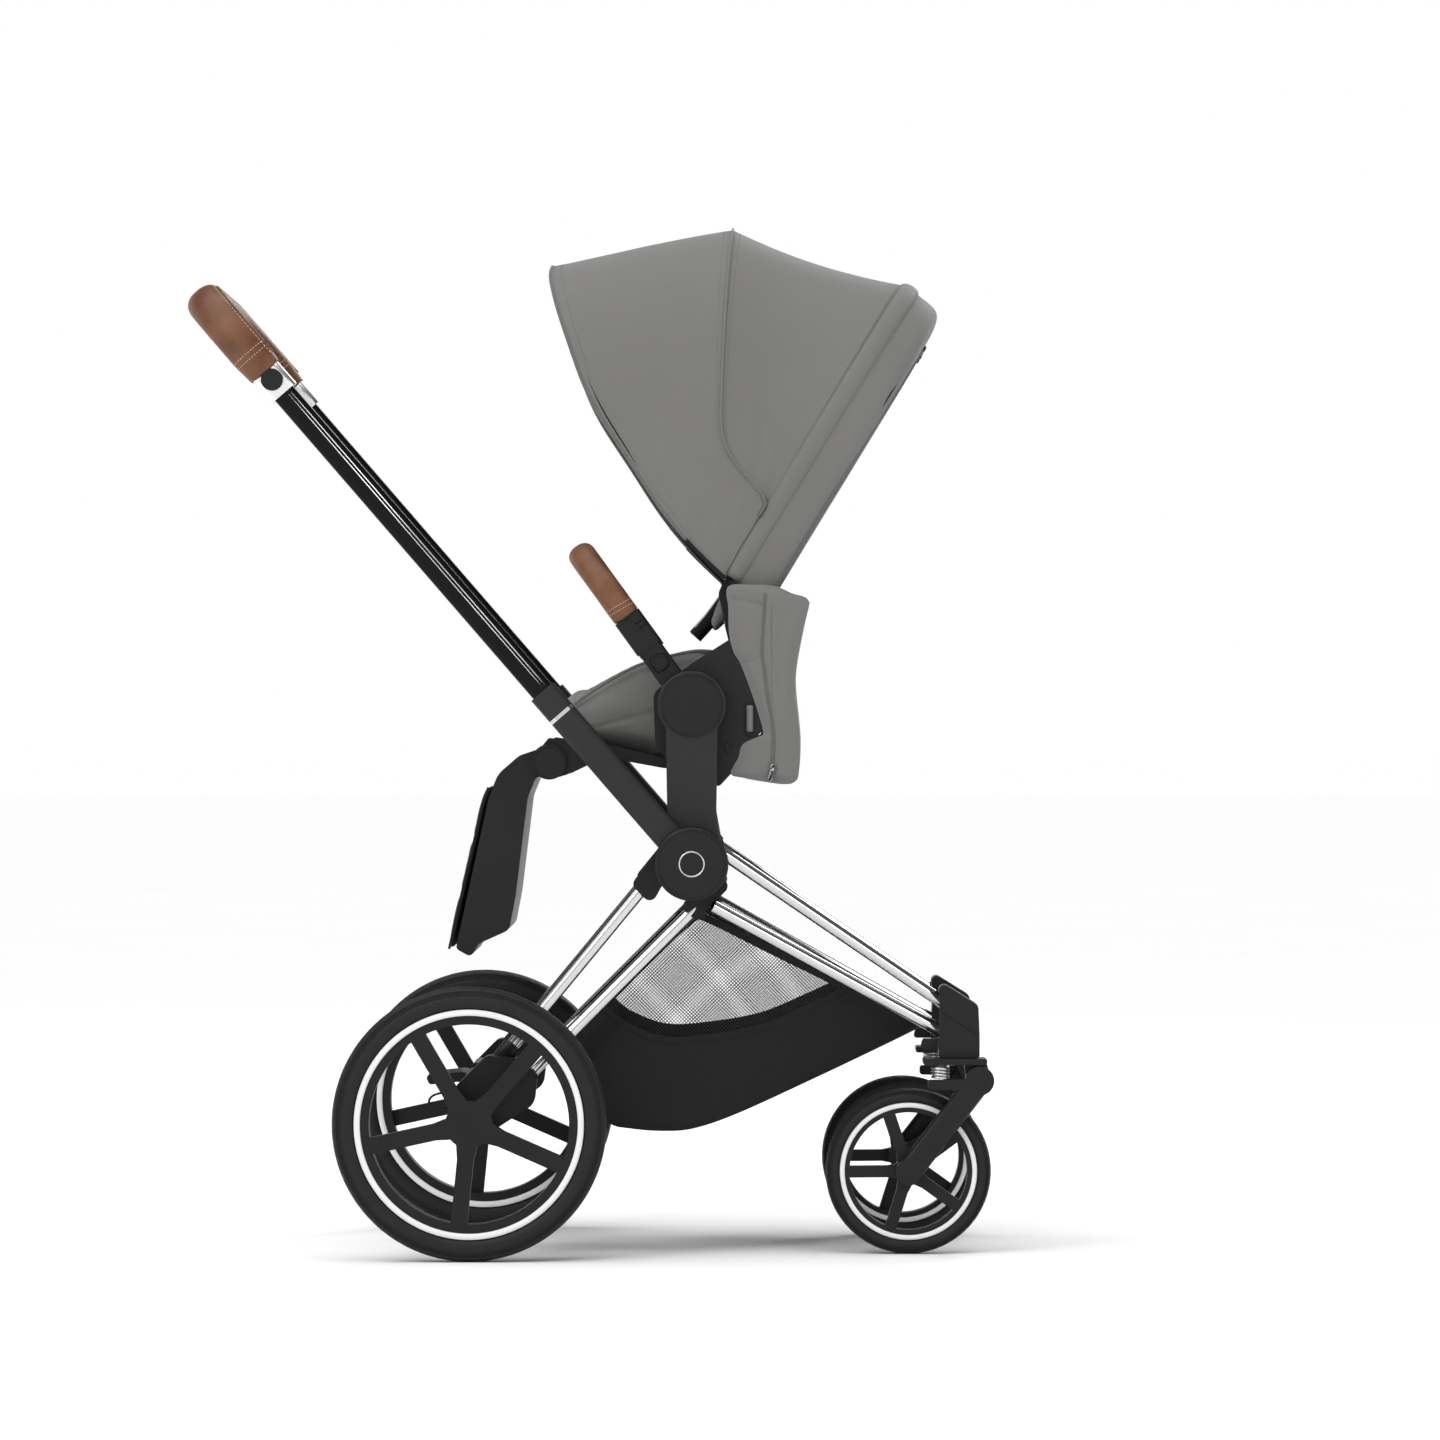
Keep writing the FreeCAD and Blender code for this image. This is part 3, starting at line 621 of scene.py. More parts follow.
# angle about the hood pivot in degrees against distance from it in mm
MIDDLE_SEAM = [(20, 91.0), (60, 72.5), (92, 67.8), (119, 84.0), (144, 92.2), (167, 94.1), (213, 93.2),
               (276, 91.9), (389, 90.0)]
FRONT_EDGE = [(12, 138.0), (63, 136.4), (165, 130.2), (247, 127.6), (312, 124.2), (372, 121.4), (392, 120.2),
              (405, 118.6)]


def arch(count):
    """(side share, height share) pairs evenly along a rounded arch, from the right side to the left."""
    dense = []
    wide = 0.48
    for k in range(601):
        a = math.pi * k / 600
        dense.append(Vector((signed_power(math.cos(a), 2 / HOOD_POWER) * wide,
                             abs(math.sin(a)) ** (2 / HOOD_POWER), 0.0)))
    return [(p.x / wide, p.y) for p in evenly(dense, count)]


def ridge_angle(r):
    """Angle of the hood's ridge about its pivot, at a distance from it: the ridge passes 13.4 mm beside it."""
    return math.degrees(BACK_TILT) + math.degrees(math.asin(min(1.0, 13.4 / max(r, 13.5))))


def round_pivot(angle, r, y):
    """Point at an angle in degrees and a distance from the hood's pivot."""
    a = math.radians(angle)
    return mm(HOOD_PIVOT[0] + r * math.cos(a), y, HOOD_PIVOT[1] + r * math.sin(a))


def hood_point(side, height, v):
    """Point of the canopy: v runs from the ridge (0) over the middle bow (0.5) to the front edge (1)."""
    height = max(height, 0.03)
    rear = v <= 0.5
    share = v * 2 if rear else v * 2 - 1
    hollow = 4 * share * (1 - share)
    if rear:
        reach = lerp(REAR_REACH, MIDDLE_REACH, share) - 19.5 * hollow
        half = lerp(HOOD_REAR_HALF, HOOD_MIDDLE_HALF, share)
    else:
        reach = lerp(MIDDLE_REACH, FRONT_REACH, share) - 11.0 * hollow
        half = lerp(HOOD_MIDDLE_HALF, HOOD_FRONT_HALF, share)
    r = reach * height
    middle = max(table(r, MIDDLE_SEAM), ridge_angle(r) + 1.2)
    angle = lerp(ridge_angle(r), middle, share) if rear else lerp(middle, table(r, FRONT_EDGE), share)
    half -= 6.5 * hollow * smooth(0.12, 0.6, height)
    point = round_pivot(angle, r, half * side)
    ripple = noise.noise(point * 14.0) * 1.1 + noise.noise(point * 34.0) * 0.35
    pull = math.sin(angle * 0.62) * 0.5 * smooth(0.05, 0.3, height) * (1 - smooth(0.45, 0.9, height))
    out = Vector((0.0, side, height)).normalized()
    return point + out * (ripple * 0.55 + pull) * MM * hollow


def fan_share(point):
    """How far a point of the canopy follows the front bow, by its angle about the pivot."""
    x, z = point.x / MM - HOOD_PIVOT[0], point.z / MM - HOOD_PIVOT[1]
    r = math.hypot(x, z)
    angle = math.degrees(math.atan2(z, x)) % 360
    low, high = ridge_angle(r), table(r, FRONT_EDGE)
    middle = 91.5
    if angle <= middle:
        return 0.5 * min(1.0, max(0.0, (angle - low) / max(1.0, middle - low)))
    return 0.5 + 0.5 * min(1.0, max(0.0, (angle - middle) / max(1.0, high - middle)))


def fan(obj):
    """The piece folds like a fan between the backrest and the front bow: each point's turn is by its angle."""
    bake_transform(obj, "backrest", "hood_front", start=round_pivot(60, 200, 0), end=round_pivot(122, 200, 0))
    shares = obj.data.attributes["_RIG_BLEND"].data
    for vertex, share in zip(obj.data.vertices, shares):
        share.value = fan_share(vertex.co)
    return obj


def hood_line(v, low, count=140, out=0.0):
    """Line across the canopy at one v, above a height share on each side."""
    points = []
    for side, height in arch(count):
        if height < low:
            continue
        p = hood_point(side, height, v)
        points.append(p + Vector((0.0, side, height)).normalized() * out)
    return points


def make_canopy():
    """Cloth from the ridge to the front edge, its seams and trims, and the two bows under it."""
    columns = arch(110)
    rows = [[hood_point(side, height, v / 56) for side, height in columns] for v in range(57)]
    canopy = grid("hood_canopy", rows)
    modify(canopy, "SOLIDIFY", thickness=1.2 * MM, offset=-1.0)
    settle(canopy)
    fan(give(canopy, GREY_CLOTH, replaces=("hood_front", "hood_middle")))

    # the middle bow's pocket: a low welt under the fabric with a stitch row on each side
    line = hood_line(0.5, 0.2, out=-0.55 * MM)
    welt = tube("hood_middle_welt", line, oval_section(7.0 * MM, 2.4 * MM, 12))
    fan(give(welt, GREY_CLOTH))
    seams = [hood_line(v, 0.3, out=0.15 * MM) for v in (0.478, 0.522)]
    row = stitches("hood_middle_stitches", seams, radius=0.2 * MM)
    fan(give(row, GREY_THREAD))

    edge = hood_line(1.0, 0.05, out=-0.6 * MM)
    binding = tube("hood_front_binding", edge, oval_section(3.6 * MM, 3.2 * MM, 12))
    fan(give(binding, GREY_TRIM))
    # black trim on the lowest stretch of the front edge
    trim_top = 0.764
    edge = [p for p in hood_line(1.0, 0.0, 400, 0.3 * MM) if p.z < trim_top]
    low_trim = [[p for p in edge if p.y * sign > 0] for sign in (1, -1)]
    trim = tubes("hood_edge_trim", low_trim, oval_section(5.0 * MM, 4.4 * MM, 10, 2.6))
    fan(give(trim, BLACK_CLOTH))
    row = stitches("hood_front_stitches", [hood_line(0.968, 0.1, out=0.15 * MM)], radius=0.2 * MM)
    fan(give(row, GREY_THREAD))

    # the bows inside: flat strips that carry the fabric
    bows = (("hood_front_bow", 395.0, HOOD_FRONT_HALF, None, 5.5),
            ("hood_middle_bow", MIDDLE_REACH, HOOD_MIDDLE_HALF, 90.0, 6.5))
    for name, reach, half, angle, inward in bows:
        points = []
        for side, height in arch(90):
            height = max(0.03, height)
            r = reach * height
            turn = angle or table(r, FRONT_EDGE) - 1.8
            out = Vector((0.0, side, height)).normalized()
            points.append(round_pivot(turn, r, half * side) - out * inward * MM)
        bow = tube(name, points, oval_section(9.0 * MM, 3.4 * MM, 12, 3.0))
        give(bow, BLACK_PLASTIC, name.replace("_bow", ""))


# top of the hood's rear band from the ridge to the zip: (depth, height) on the backrest in mm
BAND_TOP = [(RIDGE_AT, 428.0), (66.0, 428.6), (55.9, 427.6), (45.1, 426.5), (36.0, 425.0), (28.6, 421.0),
            (24.0, 412.0), (21.8, 398.0), (ZIP_AT, ZIP_TOP)]


def band_point(side, height, n, top, inset=0.0):
    """Point of the rear band at a depth n, between its foot and a top height, in mm on the backrest."""
    low = ZIP_FOOT if n < 40 else lerp(ZIP_FOOT, 60.0, (n - 40) / 36)
    up = low + (top - low) * height
    half = HOOD_REAR_HALF + 0.4 - inset - 2.0 * (1 - smooth(ZIP_AT, 34.0, n))
    across = min(1.0, max(0.0, (n - ZIP_AT) / (RIDGE_AT - ZIP_AT)))
    belly = 1.32 * math.sin(math.pi * across) * smooth(0.0, 0.2, height)
    return at_back(up, n, (half + belly) * side)


def make_hood_rear():
    """Side band and ridge of the rear part, and the panel inside the zip, which it returns."""
    columns = arch(110)
    path = through([Vector((n, u, 0.0)) for n, u in BAND_TOP], 22)
    rows = [[band_point(side, height, p.x, p.y) for side, height in columns] for p in path]
    band = grid("hood_rear_band", rows)
    modify(band, "SOLIDIFY", thickness=1.2 * MM, offset=1.0)
    settle(band)
    give(band, GREY_CLOTH, "backrest", ("hood_rear",))

    # ridge: the pocket of the rear bow, a padded tube between two sewn edges
    ridge_line, edge_a, edge_b = [], [], []
    for side, height in arch(150):
        ridge_line.append(band_point(side, height, 67.0, 429.0, 0.8))
        edge_a.append(band_point(side, height, 57.2, 428.6, 0.5))
        edge_b.append(band_point(side, height, 77.0, 429.0, 0.5))
    across = Vector((-math.sin(BACK_TILT), 0.0, math.cos(BACK_TILT)))
    ridge = tube("hood_ridge", ridge_line, oval_section(8.0 * MM, 19.5 * MM, 18, 2.0), normal=across)
    give(ridge, GREY_CLOTH, "backrest")
    welts = tubes("hood_ridge_welts", [edge_a, edge_b], round_section(0.8 * MM, 8))
    give(welts, GREY_CLOTH, "backrest")

    # back panel inside the zip
    rows = []
    for k in range(44):
        share = k / 43
        row = []
        for side, height in columns:
            up = lerp(lerp(ZIP_FOOT, ZIP_TOP, height), ZIP_FOOT, share)
            y = (HOOD_REAR_HALF - 2.6) * side * (1 - share * 0.98)
            crown = math.sin(math.pi * min(1.0, share * 1.5) / 2) * smooth(51, 130, up)
            wave = 0.5 * noise.noise(Vector((y * 0.02, up * 0.012, 3.0)))
            row.append(at_back(up, ZIP_AT - 1.6 * crown + wave, y))
        rows.append(row)
    panel = grid("hood_back_panel", rows)
    modify(panel, "SOLIDIFY", thickness=1.0 * MM, offset=0.0)
    settle(panel)
    give(panel, GREY_CLOTH, "backrest")
    return panel


def zipper(name, path, normal, width=6.0 * MM):
    """Woven tape and moulded teeth along a path, as two pieces; normal(i) faces out of the cloth."""
    tape = tube(name + "_tape", path, oval_section(width, 0.9 * MM, 10, 3.0), normal=normal)
    vertices, faces = [], []
    box_faces = ((0, 3, 2, 1), (4, 5, 6, 7), (0, 1, 5, 4), (1, 2, 6, 5), (2, 3, 7, 6), (3, 0, 4, 7))
    count = int(length_of(path) / (2.6 * MM))
    fine = evenly(path, count + 1)
    for k in range(count):
        a, b = fine[k], fine[k + 1]
        along = (b - a).normalized()
        up = squared_to(Vector(normal(int(k / count * (len(path) - 1)))), along)
        side = along.cross(up) * (1.0 if k % 2 else -1.0)
        middle = (a + b) / 2 + up * 0.4 * MM
        first = len(vertices)
        for dz in (-0.4, 0.7):
            for dx, dy in ((-0.9, -0.3), (0.9, -0.3), (0.9, 1.2), (-0.9, 1.2)):
                vertices.append(middle + along * dx * MM + side * dy * MM + up * dz * MM)
        faces += [tuple(first + q for q in face) for face in box_faces]
    teeth = add(name + "_teeth", vertices, faces, False)
    return tape, teeth


def puller(name, at, down, normal, length=17.0):
    """Zip slider with a hanging tab."""
    down, normal = Vector(down).normalized(), Vector(normal).normalized()
    side = down.cross(normal)

    def block(origin, long, wide, thick):
        """Rounded plate with a raised middle: 20 points in each of its three rings."""
        rise = normal * thick / 2 * MM
        outline = [origin + (down * signed_power(c, 0.6) * long + side * signed_power(s, 0.6) * wide) / 2 * MM
                   for c, s in circle(20)]
        upper = [p + rise for p in outline]
        middle = [p.lerp(origin + rise, 0.22) + normal * 0.3 * MM for p in upper]
        faces = grid_faces(3, 20, False, True) + [tuple(reversed(range(20))), tuple(range(40, 60))]
        return [p - rise for p in outline] + upper + middle, faces

    vertices, faces = block(at + normal * 1.4 * MM, 8.0, 6.6, 2.6)
    more, their = block(at + normal * 2.6 * MM + down * (length / 2 + 3.0) * MM, length, 5.4, 1.6)
    faces += [tuple(len(vertices) + q for q in face) for face in their]
    return add(name, vertices + more, faces)


def make_hood_zip(panel):
    """One zip from side to side over the top, with a slider at each foot and near each shoulder."""
    columns = arch(220)
    path = [band_point(side, height, ZIP_AT, ZIP_TOP, -0.6) for side, height in columns]
    behind = Vector((math.sin(BACK_TILT), 0.0, -math.cos(BACK_TILT)))
    up_back = Vector((math.cos(BACK_TILT), 0.0, math.sin(BACK_TILT)))

    def normal(i):
        side, height = columns[i]
        return Vector((0.0, side, 0.0)) + up_back * height * 0.6 + behind * 0.7

    tape, teeth = zipper("hood_zip", path, normal, 5.0 * MM)
    give(tape, GREY_TRIM, "backrest")
    give(teeth, GREY_THREAD, "backrest")
    for sign, side_name in SIDES:
        foot = path[-3] if sign == 1 else path[2]
        top = min(path, key=lambda p: abs(p.z - 0.972) + (1.0 if p.y * sign > 0 else 0.0))
        for at, name, down, length in ((foot, "hood_zip_pull_", (-0.28, 0, -1), 13.0),
                                       (top, "hood_zip_top_pull_", (-0.5, 0, -1), 6.0)):
            at = at + Vector((0.0, -sign * 1.2 * MM, 0.0))
            pull = puller(name + side_name, at, down, (0, -sign, 0), length)
            give(pull, STEEL, "backrest")


# ======== lower back cover ========
COVER_HALF = 205.0
# XZ outlines in mm: a side panel, the rear wall and floor, the zip, and the two seams ahead of it
COVER_SIDE = [(143.5, 713), (143.8, 690), (144.6, 663), (149.5, 643), (157, 630), (170.6, 594), (181, 559),
              (177, 554), (159, 545), (154.5, 531), (146, 514), (160, 509.5), (187, 504.7), (204, 502.8),
              (213.7, 504.5), (218.7, 513), (219.8, 545), (218, 570), (214.9, 603), (215.6, 627),
              (223, 667.5), (229.5, 697.5), (211, 706), (193.5, 713.5), (170, 715)]
COVER_REAR = [(229.5, 697.5), (223, 667.5), (215.6, 627), (214.9, 603), (218, 570), (219.8, 545), (218.9, 517),
              (213.7, 505.5), (204, 502.8), (187, 504.7), (164, 508.5)]
COVER_ZIP = [(183.5, 706), (181.4, 676), (179.9, 643), (181.9, 627), (186, 594), (190.6, 570), (192.3, 548),
             (191.0, 521)]
COVER_SEAMS = [((146, 701.5), (182, 693.6)), ((152, 631.2), (180.5, 636.8))]


def cover_side_y(x, z, depth):
    """How far out a side panel's cloth lies, in mm from the middle: puffed, drawn in at its seams."""
    y = COVER_HALF - 1.4 + 3.2 * smooth(0.0, 12.0, depth)
    y += 0.9 * noise.noise(Vector((x * 0.03, z * 0.016, 0.0))) * smooth(0, 12, depth)
    for (x0, z0), (x1, z1) in COVER_SEAMS:
        if x < x1 + 2:
            line = lerp(z0, z1, (x - x0) / (x1 - x0))
            y -= 1.5 * math.exp(-((z - line) / 2.6) ** 2) * smooth(0, 8, depth)
    zip_x = table(-z, [(-b, a) for a, b in COVER_ZIP])
    y -= 1.0 * math.exp(-((x - zip_x) / 3.0) ** 2) * smooth(0, 8, depth)
    y += 1.2 * math.exp(-((x - zip_x - 8.0) / 6.0) ** 2) * smooth(0, 12, depth)
    return y


def make_lower_cover():
    """Fabric bag around the backrest's foot: two side panels, a rear wall and a floor."""
    rear = through(flat(COVER_REAR), 60)
    across = 61
    rows = []
    for p in rear:
        row = []
        for k in range(across):
            y = lerp(-1, 1, k / (across - 1))
            edge = abs(y) ** 16
            bow = 2.0 * (1 - y * y) * smooth(503, 560, p.z)
            fold = 0.9 * noise.noise(Vector((y * 2.2, p.z * 0.013, 5.0)))
            row.append(mm(p.x + bow + fold - 3.0 * edge, (COVER_HALF - 1.0) * y,
                          p.z + 2.0 * edge * (1 - smooth(505, 530, p.z))))
        rows.append(row)
    wall = grid("wall", rows)

    # each side panel runs from its outline in to a spine along its middle
    sides = []
    outline = through(flat(COVER_SIDE), 150, True)
    for sign in (1, -1):
        rows = []
        for k in range(20):
            share = (k / 19) ** 1.3
            row = []
            for p in outline:
                spine = Vector((190.0, 0.0, min(694.0, max(522.0, p.z))))
                q = p.lerp(spine, share)
                row.append(mm(q.x, sign * cover_side_y(q.x, q.z, (q - p).length), q.z))
            rows.append(row)
        sides.append(grid("side", rows, False, True))
    cover = joined("lower_back_fabric", wall, *sides)
    modify(cover, "WELD", merge_threshold=0.05 * MM)
    modify(cover, "SOLIDIFY", thickness=1.1 * MM, offset=0.0)
    settle(cover)
    bend_cover(give(cover, GREY_CLOTH, replaces=("lower_back_cover",)))

    pieces = []
    for sign, side_name in SIDES:
        def lay(points, out, count):
            return [mm(p.x, -sign * (cover_side_y(p.x, p.z, 20.0) + out), p.z)
                    for p in through(flat(points), count)]

        path = lay(COVER_ZIP, 0.9, 70)
        tape, teeth = zipper("cover_zip_" + side_name, path, lambda i: (0, -sign, 0), 4.2 * MM)
        bend_cover(give(tape, GREY_TRIM))
        bend_cover(give(teeth, GREY_THREAD))
        foot = path[-1] + mm(0, -sign, 0)
        pull = puller("cover_zip_pull_" + side_name, foot, (-0.25, 0, -1), (0, -sign, 0), 13.0)
        give(pull, STEEL, "front_frame")
        row = stitches("cover_stitches_" + side_name, [lay([a, b], 0.75, 30) for a, b in COVER_SEAMS],
                       pitch=3.6 * MM, radius=0.2 * MM)
        bend_cover(give(row, GREY_THREAD))
        pieces += ["cover_zip_" + side_name + "_tape", "cover_zip_" + side_name + "_teeth",
                   "cover_stitches_" + side_name]


def bend_cover(obj):
    """The cover bends from the fixed seat frame to the backrest across the recline hinge."""
    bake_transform(obj, "front_frame", "backrest", start=mm(190, 0, 610), end=mm(212, 0, 700))
    return obj


# ======== seat, leg rest and back pads ========
# XZ profiles in mm
SEAT_TOP = [(-50, 563), (-46, 571), (-37, 581), (-20, 594), (6, 612), (28, 625), (49, 635.5), (84, 645.5),
            (114, 650.5), (151, 646)]
SEAT_UNDER = [(-50, 563), (-44, 560), (-20, 558.5), (0, 549), (36, 540.2), (78, 530.5), (150, 528.5)]
LEG_REST_FRONT = [(-112.2, 499), (-117.5, 486), (-128, 441), (-140.5, 388), (-154.6, 326)]


def make_seat():
    """Bucket seat: a crowned form with raised side bolsters."""
    rows = []
    stations, ring = 46, 56
    for k in range(stations):
        x = lerp(-46.0, 148.0, k / (stations - 1))
        top = table(x, SEAT_TOP) - 0.5
        low = table(x, SEAT_UNDER) - 1.0
        dip = 31.0 * smooth(-20, 24, x)
        half = 163.0 - 6.0 * (1 - smooth(-50, -20, x))
        row = []
        for c, s in circle(ring):
            y = half * signed_power(c, 0.42)
            share = abs(s) ** 0.5
            z = lerp((top + low) / 2, top if s >= 0 else low, share)
            if s >= 0:
                z -= dip * (1 - smooth(96, 132, abs(y))) * share
            row.append(mm(x, y, z))
        rows.append(row)
    seat = grid("seat_fabric", rows, False, True)
    cap_ends(seat, stations, ring)
    inflate(seat, voxel=6 * MM, pressure=3.0, cap=5 * MM)

    def seams(p):
        """Two sewn lines on the outside of each bolster: one rises to the back, one follows the top."""
        if abs(p.y) <= 0.150:
            return Vector((0, 0, 0))
        x, z = p.x / MM, p.z / MM
        line = lerp(565.0, 578.0, (x - 8) / 51)
        rim = table(x, SEAT_TOP) - 12.0
        inward = 1.8 * math.exp(-((z - line) / 2.6) ** 2) * smooth(-30, 12, x)
        inward += 1.2 * math.exp(-((z - rim) / 2.4) ** 2)
        return Vector((0, -math.copysign(inward * MM, p.y), 0))

    press(seat, seams)
    give(seat, GREY_CLOTH, "seat_base", ("seat_cushion",))

    # piping along each top edge of the bolsters
    lines = [[mm(x, y, table(x, SEAT_TOP) - 5.4) for x in range(-40, 142, 5)] for y in (157.0, -157.0)]
    piping = tubes("seat_piping", lines, round_section(1.7 * MM, 8))
    give(piping, GREY_TRIM, "seat_base")

    # quilted liner in the bucket
    liner = sewn_pad("seat_liner", [(x, table(x, SEAT_TOP) - lerp(4.0, 36.0, smooth(-20, 24, x)))
                                    for x in range(-32, 126, 8)], 100.0, 11.0, channels=5)
    give(liner, GREY_CLOTH, "seat_base")


def cap_ends(obj, stations, ring):
    """Closes both ends of a lofted grid with fans of faces."""
    bm = bmesh.new()
    bm.from_mesh(obj.data)
    bm.verts.ensure_lookup_table()
    bm.faces.new([bm.verts[k] for k in range(ring)])
    bm.faces.new([bm.verts[(stations - 1) * ring + k] for k in reversed(range(ring))])
    bmesh.ops.recalc_face_normals(bm, faces=bm.faces)
    bm.to_mesh(obj.data)
    bm.free()


def sewn_pad(name, line, half, thick, channels, width_share=None):
    """Soft pad along an XZ line in mm, crowned across, with sewn channels at even distances."""
    points = evenly(flat(line), 150)
    rows, across = [], 72
    for k, p in enumerate(points):
        before, after = points[max(0, k - 1)], points[min(len(points) - 1, k + 1)]
        along = (after - before).normalized()
        up = Vector((-along.z, 0, along.x))
        share = k / (len(points) - 1)
        end = max(0.0, 1 - (abs(2 * share - 1)) ** 10) ** 0.5
        width = half * (width_share(share) if width_share else 1.0) * (0.86 + 0.14 * end)
        channel = abs(math.sin(math.pi * channels * share))
        crown = 0.55 + 0.45 * min(1.0, channel * 2.2) ** 0.6
        row = []
        for c, s in circle(across):
            y = width * signed_power(c, 2 / 3)
            side = max(0.0, 1 - (abs(y) / width) ** 5) ** 0.5
            tall = thick * (0.16 + 0.84 * side) * (0.2 + 0.8 * end)
            lift = tall * (crown if s > 0 else 0.35) * abs(s) ** 0.55 * (1 if s > 0 else -1)
            row.append((p + up * lift) * MM + Vector((0, y * MM, 0)))
        rows.append(row)
    pad = grid(name, rows, False, True)
    cap_ends(pad, len(rows), across)
    for v in pad.data.vertices:
        v.co += v.normal * noise.noise(v.co * 45.0) * 0.7 * MM
    return pad


def make_leg_rest():
    """Cushioned front of the leg rest with a piped edge, and the caps of its hinge."""
    line = through(flat(LEG_REST_FRONT), 24)
    pad = sewn_pad("leg_rest_fabric", [(p.x + 1.2, p.z + 0.2) for p in reversed(line)], 144.0, 6.0, 3)
    modify(pad, "SUBSURF", levels=1, render_levels=1)
    settle(pad)
    give(pad, BLACK_CLOTH, "leg_rest", ("leg_rest_pad",))
    edges = [through([mm(p.x - 0.6, y, p.z - 0.2) for p in line], 60) for y in (146.8, -146.8)]
    rim = tubes("leg_rest_piping", edges, round_section(1.4 * MM, 8))
    give(rim, BLACK_CLOTH, "leg_rest")
    for sign, side_name in ((1, "a"), (-1, "b")):
        cap = raised_ring("leg_rest_cap_ring_" + side_name, (15.8, 16.2, 17.6, 18.2), 0.5 * sign, LEG_PIVOT,
                          sign * 172.0, 96)
        give(cap, BLACK_PLASTIC, "seat_base")


def make_back_pad():
    """Quilted backrest pad with rounded shoulders and two side bolsters."""
    foot, shoulders, top = 6, 318, 396

    def shape(share):
        rise = max(0.0, (lerp(foot, top, share) - shoulders) / (top - shoulders))
        return math.sqrt(1 - (0.62 * rise) ** 2.4)

    line = [back(u, 40.0 + 1.5 * math.sin(u / 60)) for u in range(foot, top + 1, 6)]
    pad = sewn_pad("back_fabric", line, 150.0, 17.0, 7, shape)
    inflate(pad, voxel=5.5 * MM, pressure=2.5, cap=4 * MM)
    give(pad, GREY_CLOTH, "backrest", ("back_pad",))
    for sign, side_name in SIDES:
        line = [at_back(u, 58, -sign * (139 - 10 * smooth(250, 380, u))) for u in range(2, 330, 8)]
        oval = oval_section(30 * MM, 24 * MM, 20, 2.2)(0)

        def section(i):
            end = max(0.12, 1 - abs(2 * i / (len(line) - 1) - 1) ** 6) ** 0.5
            return [(s * end, u * end) for s, u in oval]

        bolster = tube("side_bolster_" + side_name, line, section)
        inflate(bolster, voxel=4.5 * MM, pressure=3.0, cap=4 * MM)
        give(bolster, GREY_CLOTH, "backrest")


BUCKLE = (17.0, 604.0)
BUCKLE_LEAN = math.radians(30)


def strap(name, points, width, thick=1.6 * MM, normal=None):
    """Flat webbing along points."""
    path = through(points, max(24, len(points) * 10))
    return tube(name, path, oval_section(thick, width, 12, 5.0), normal=normal)


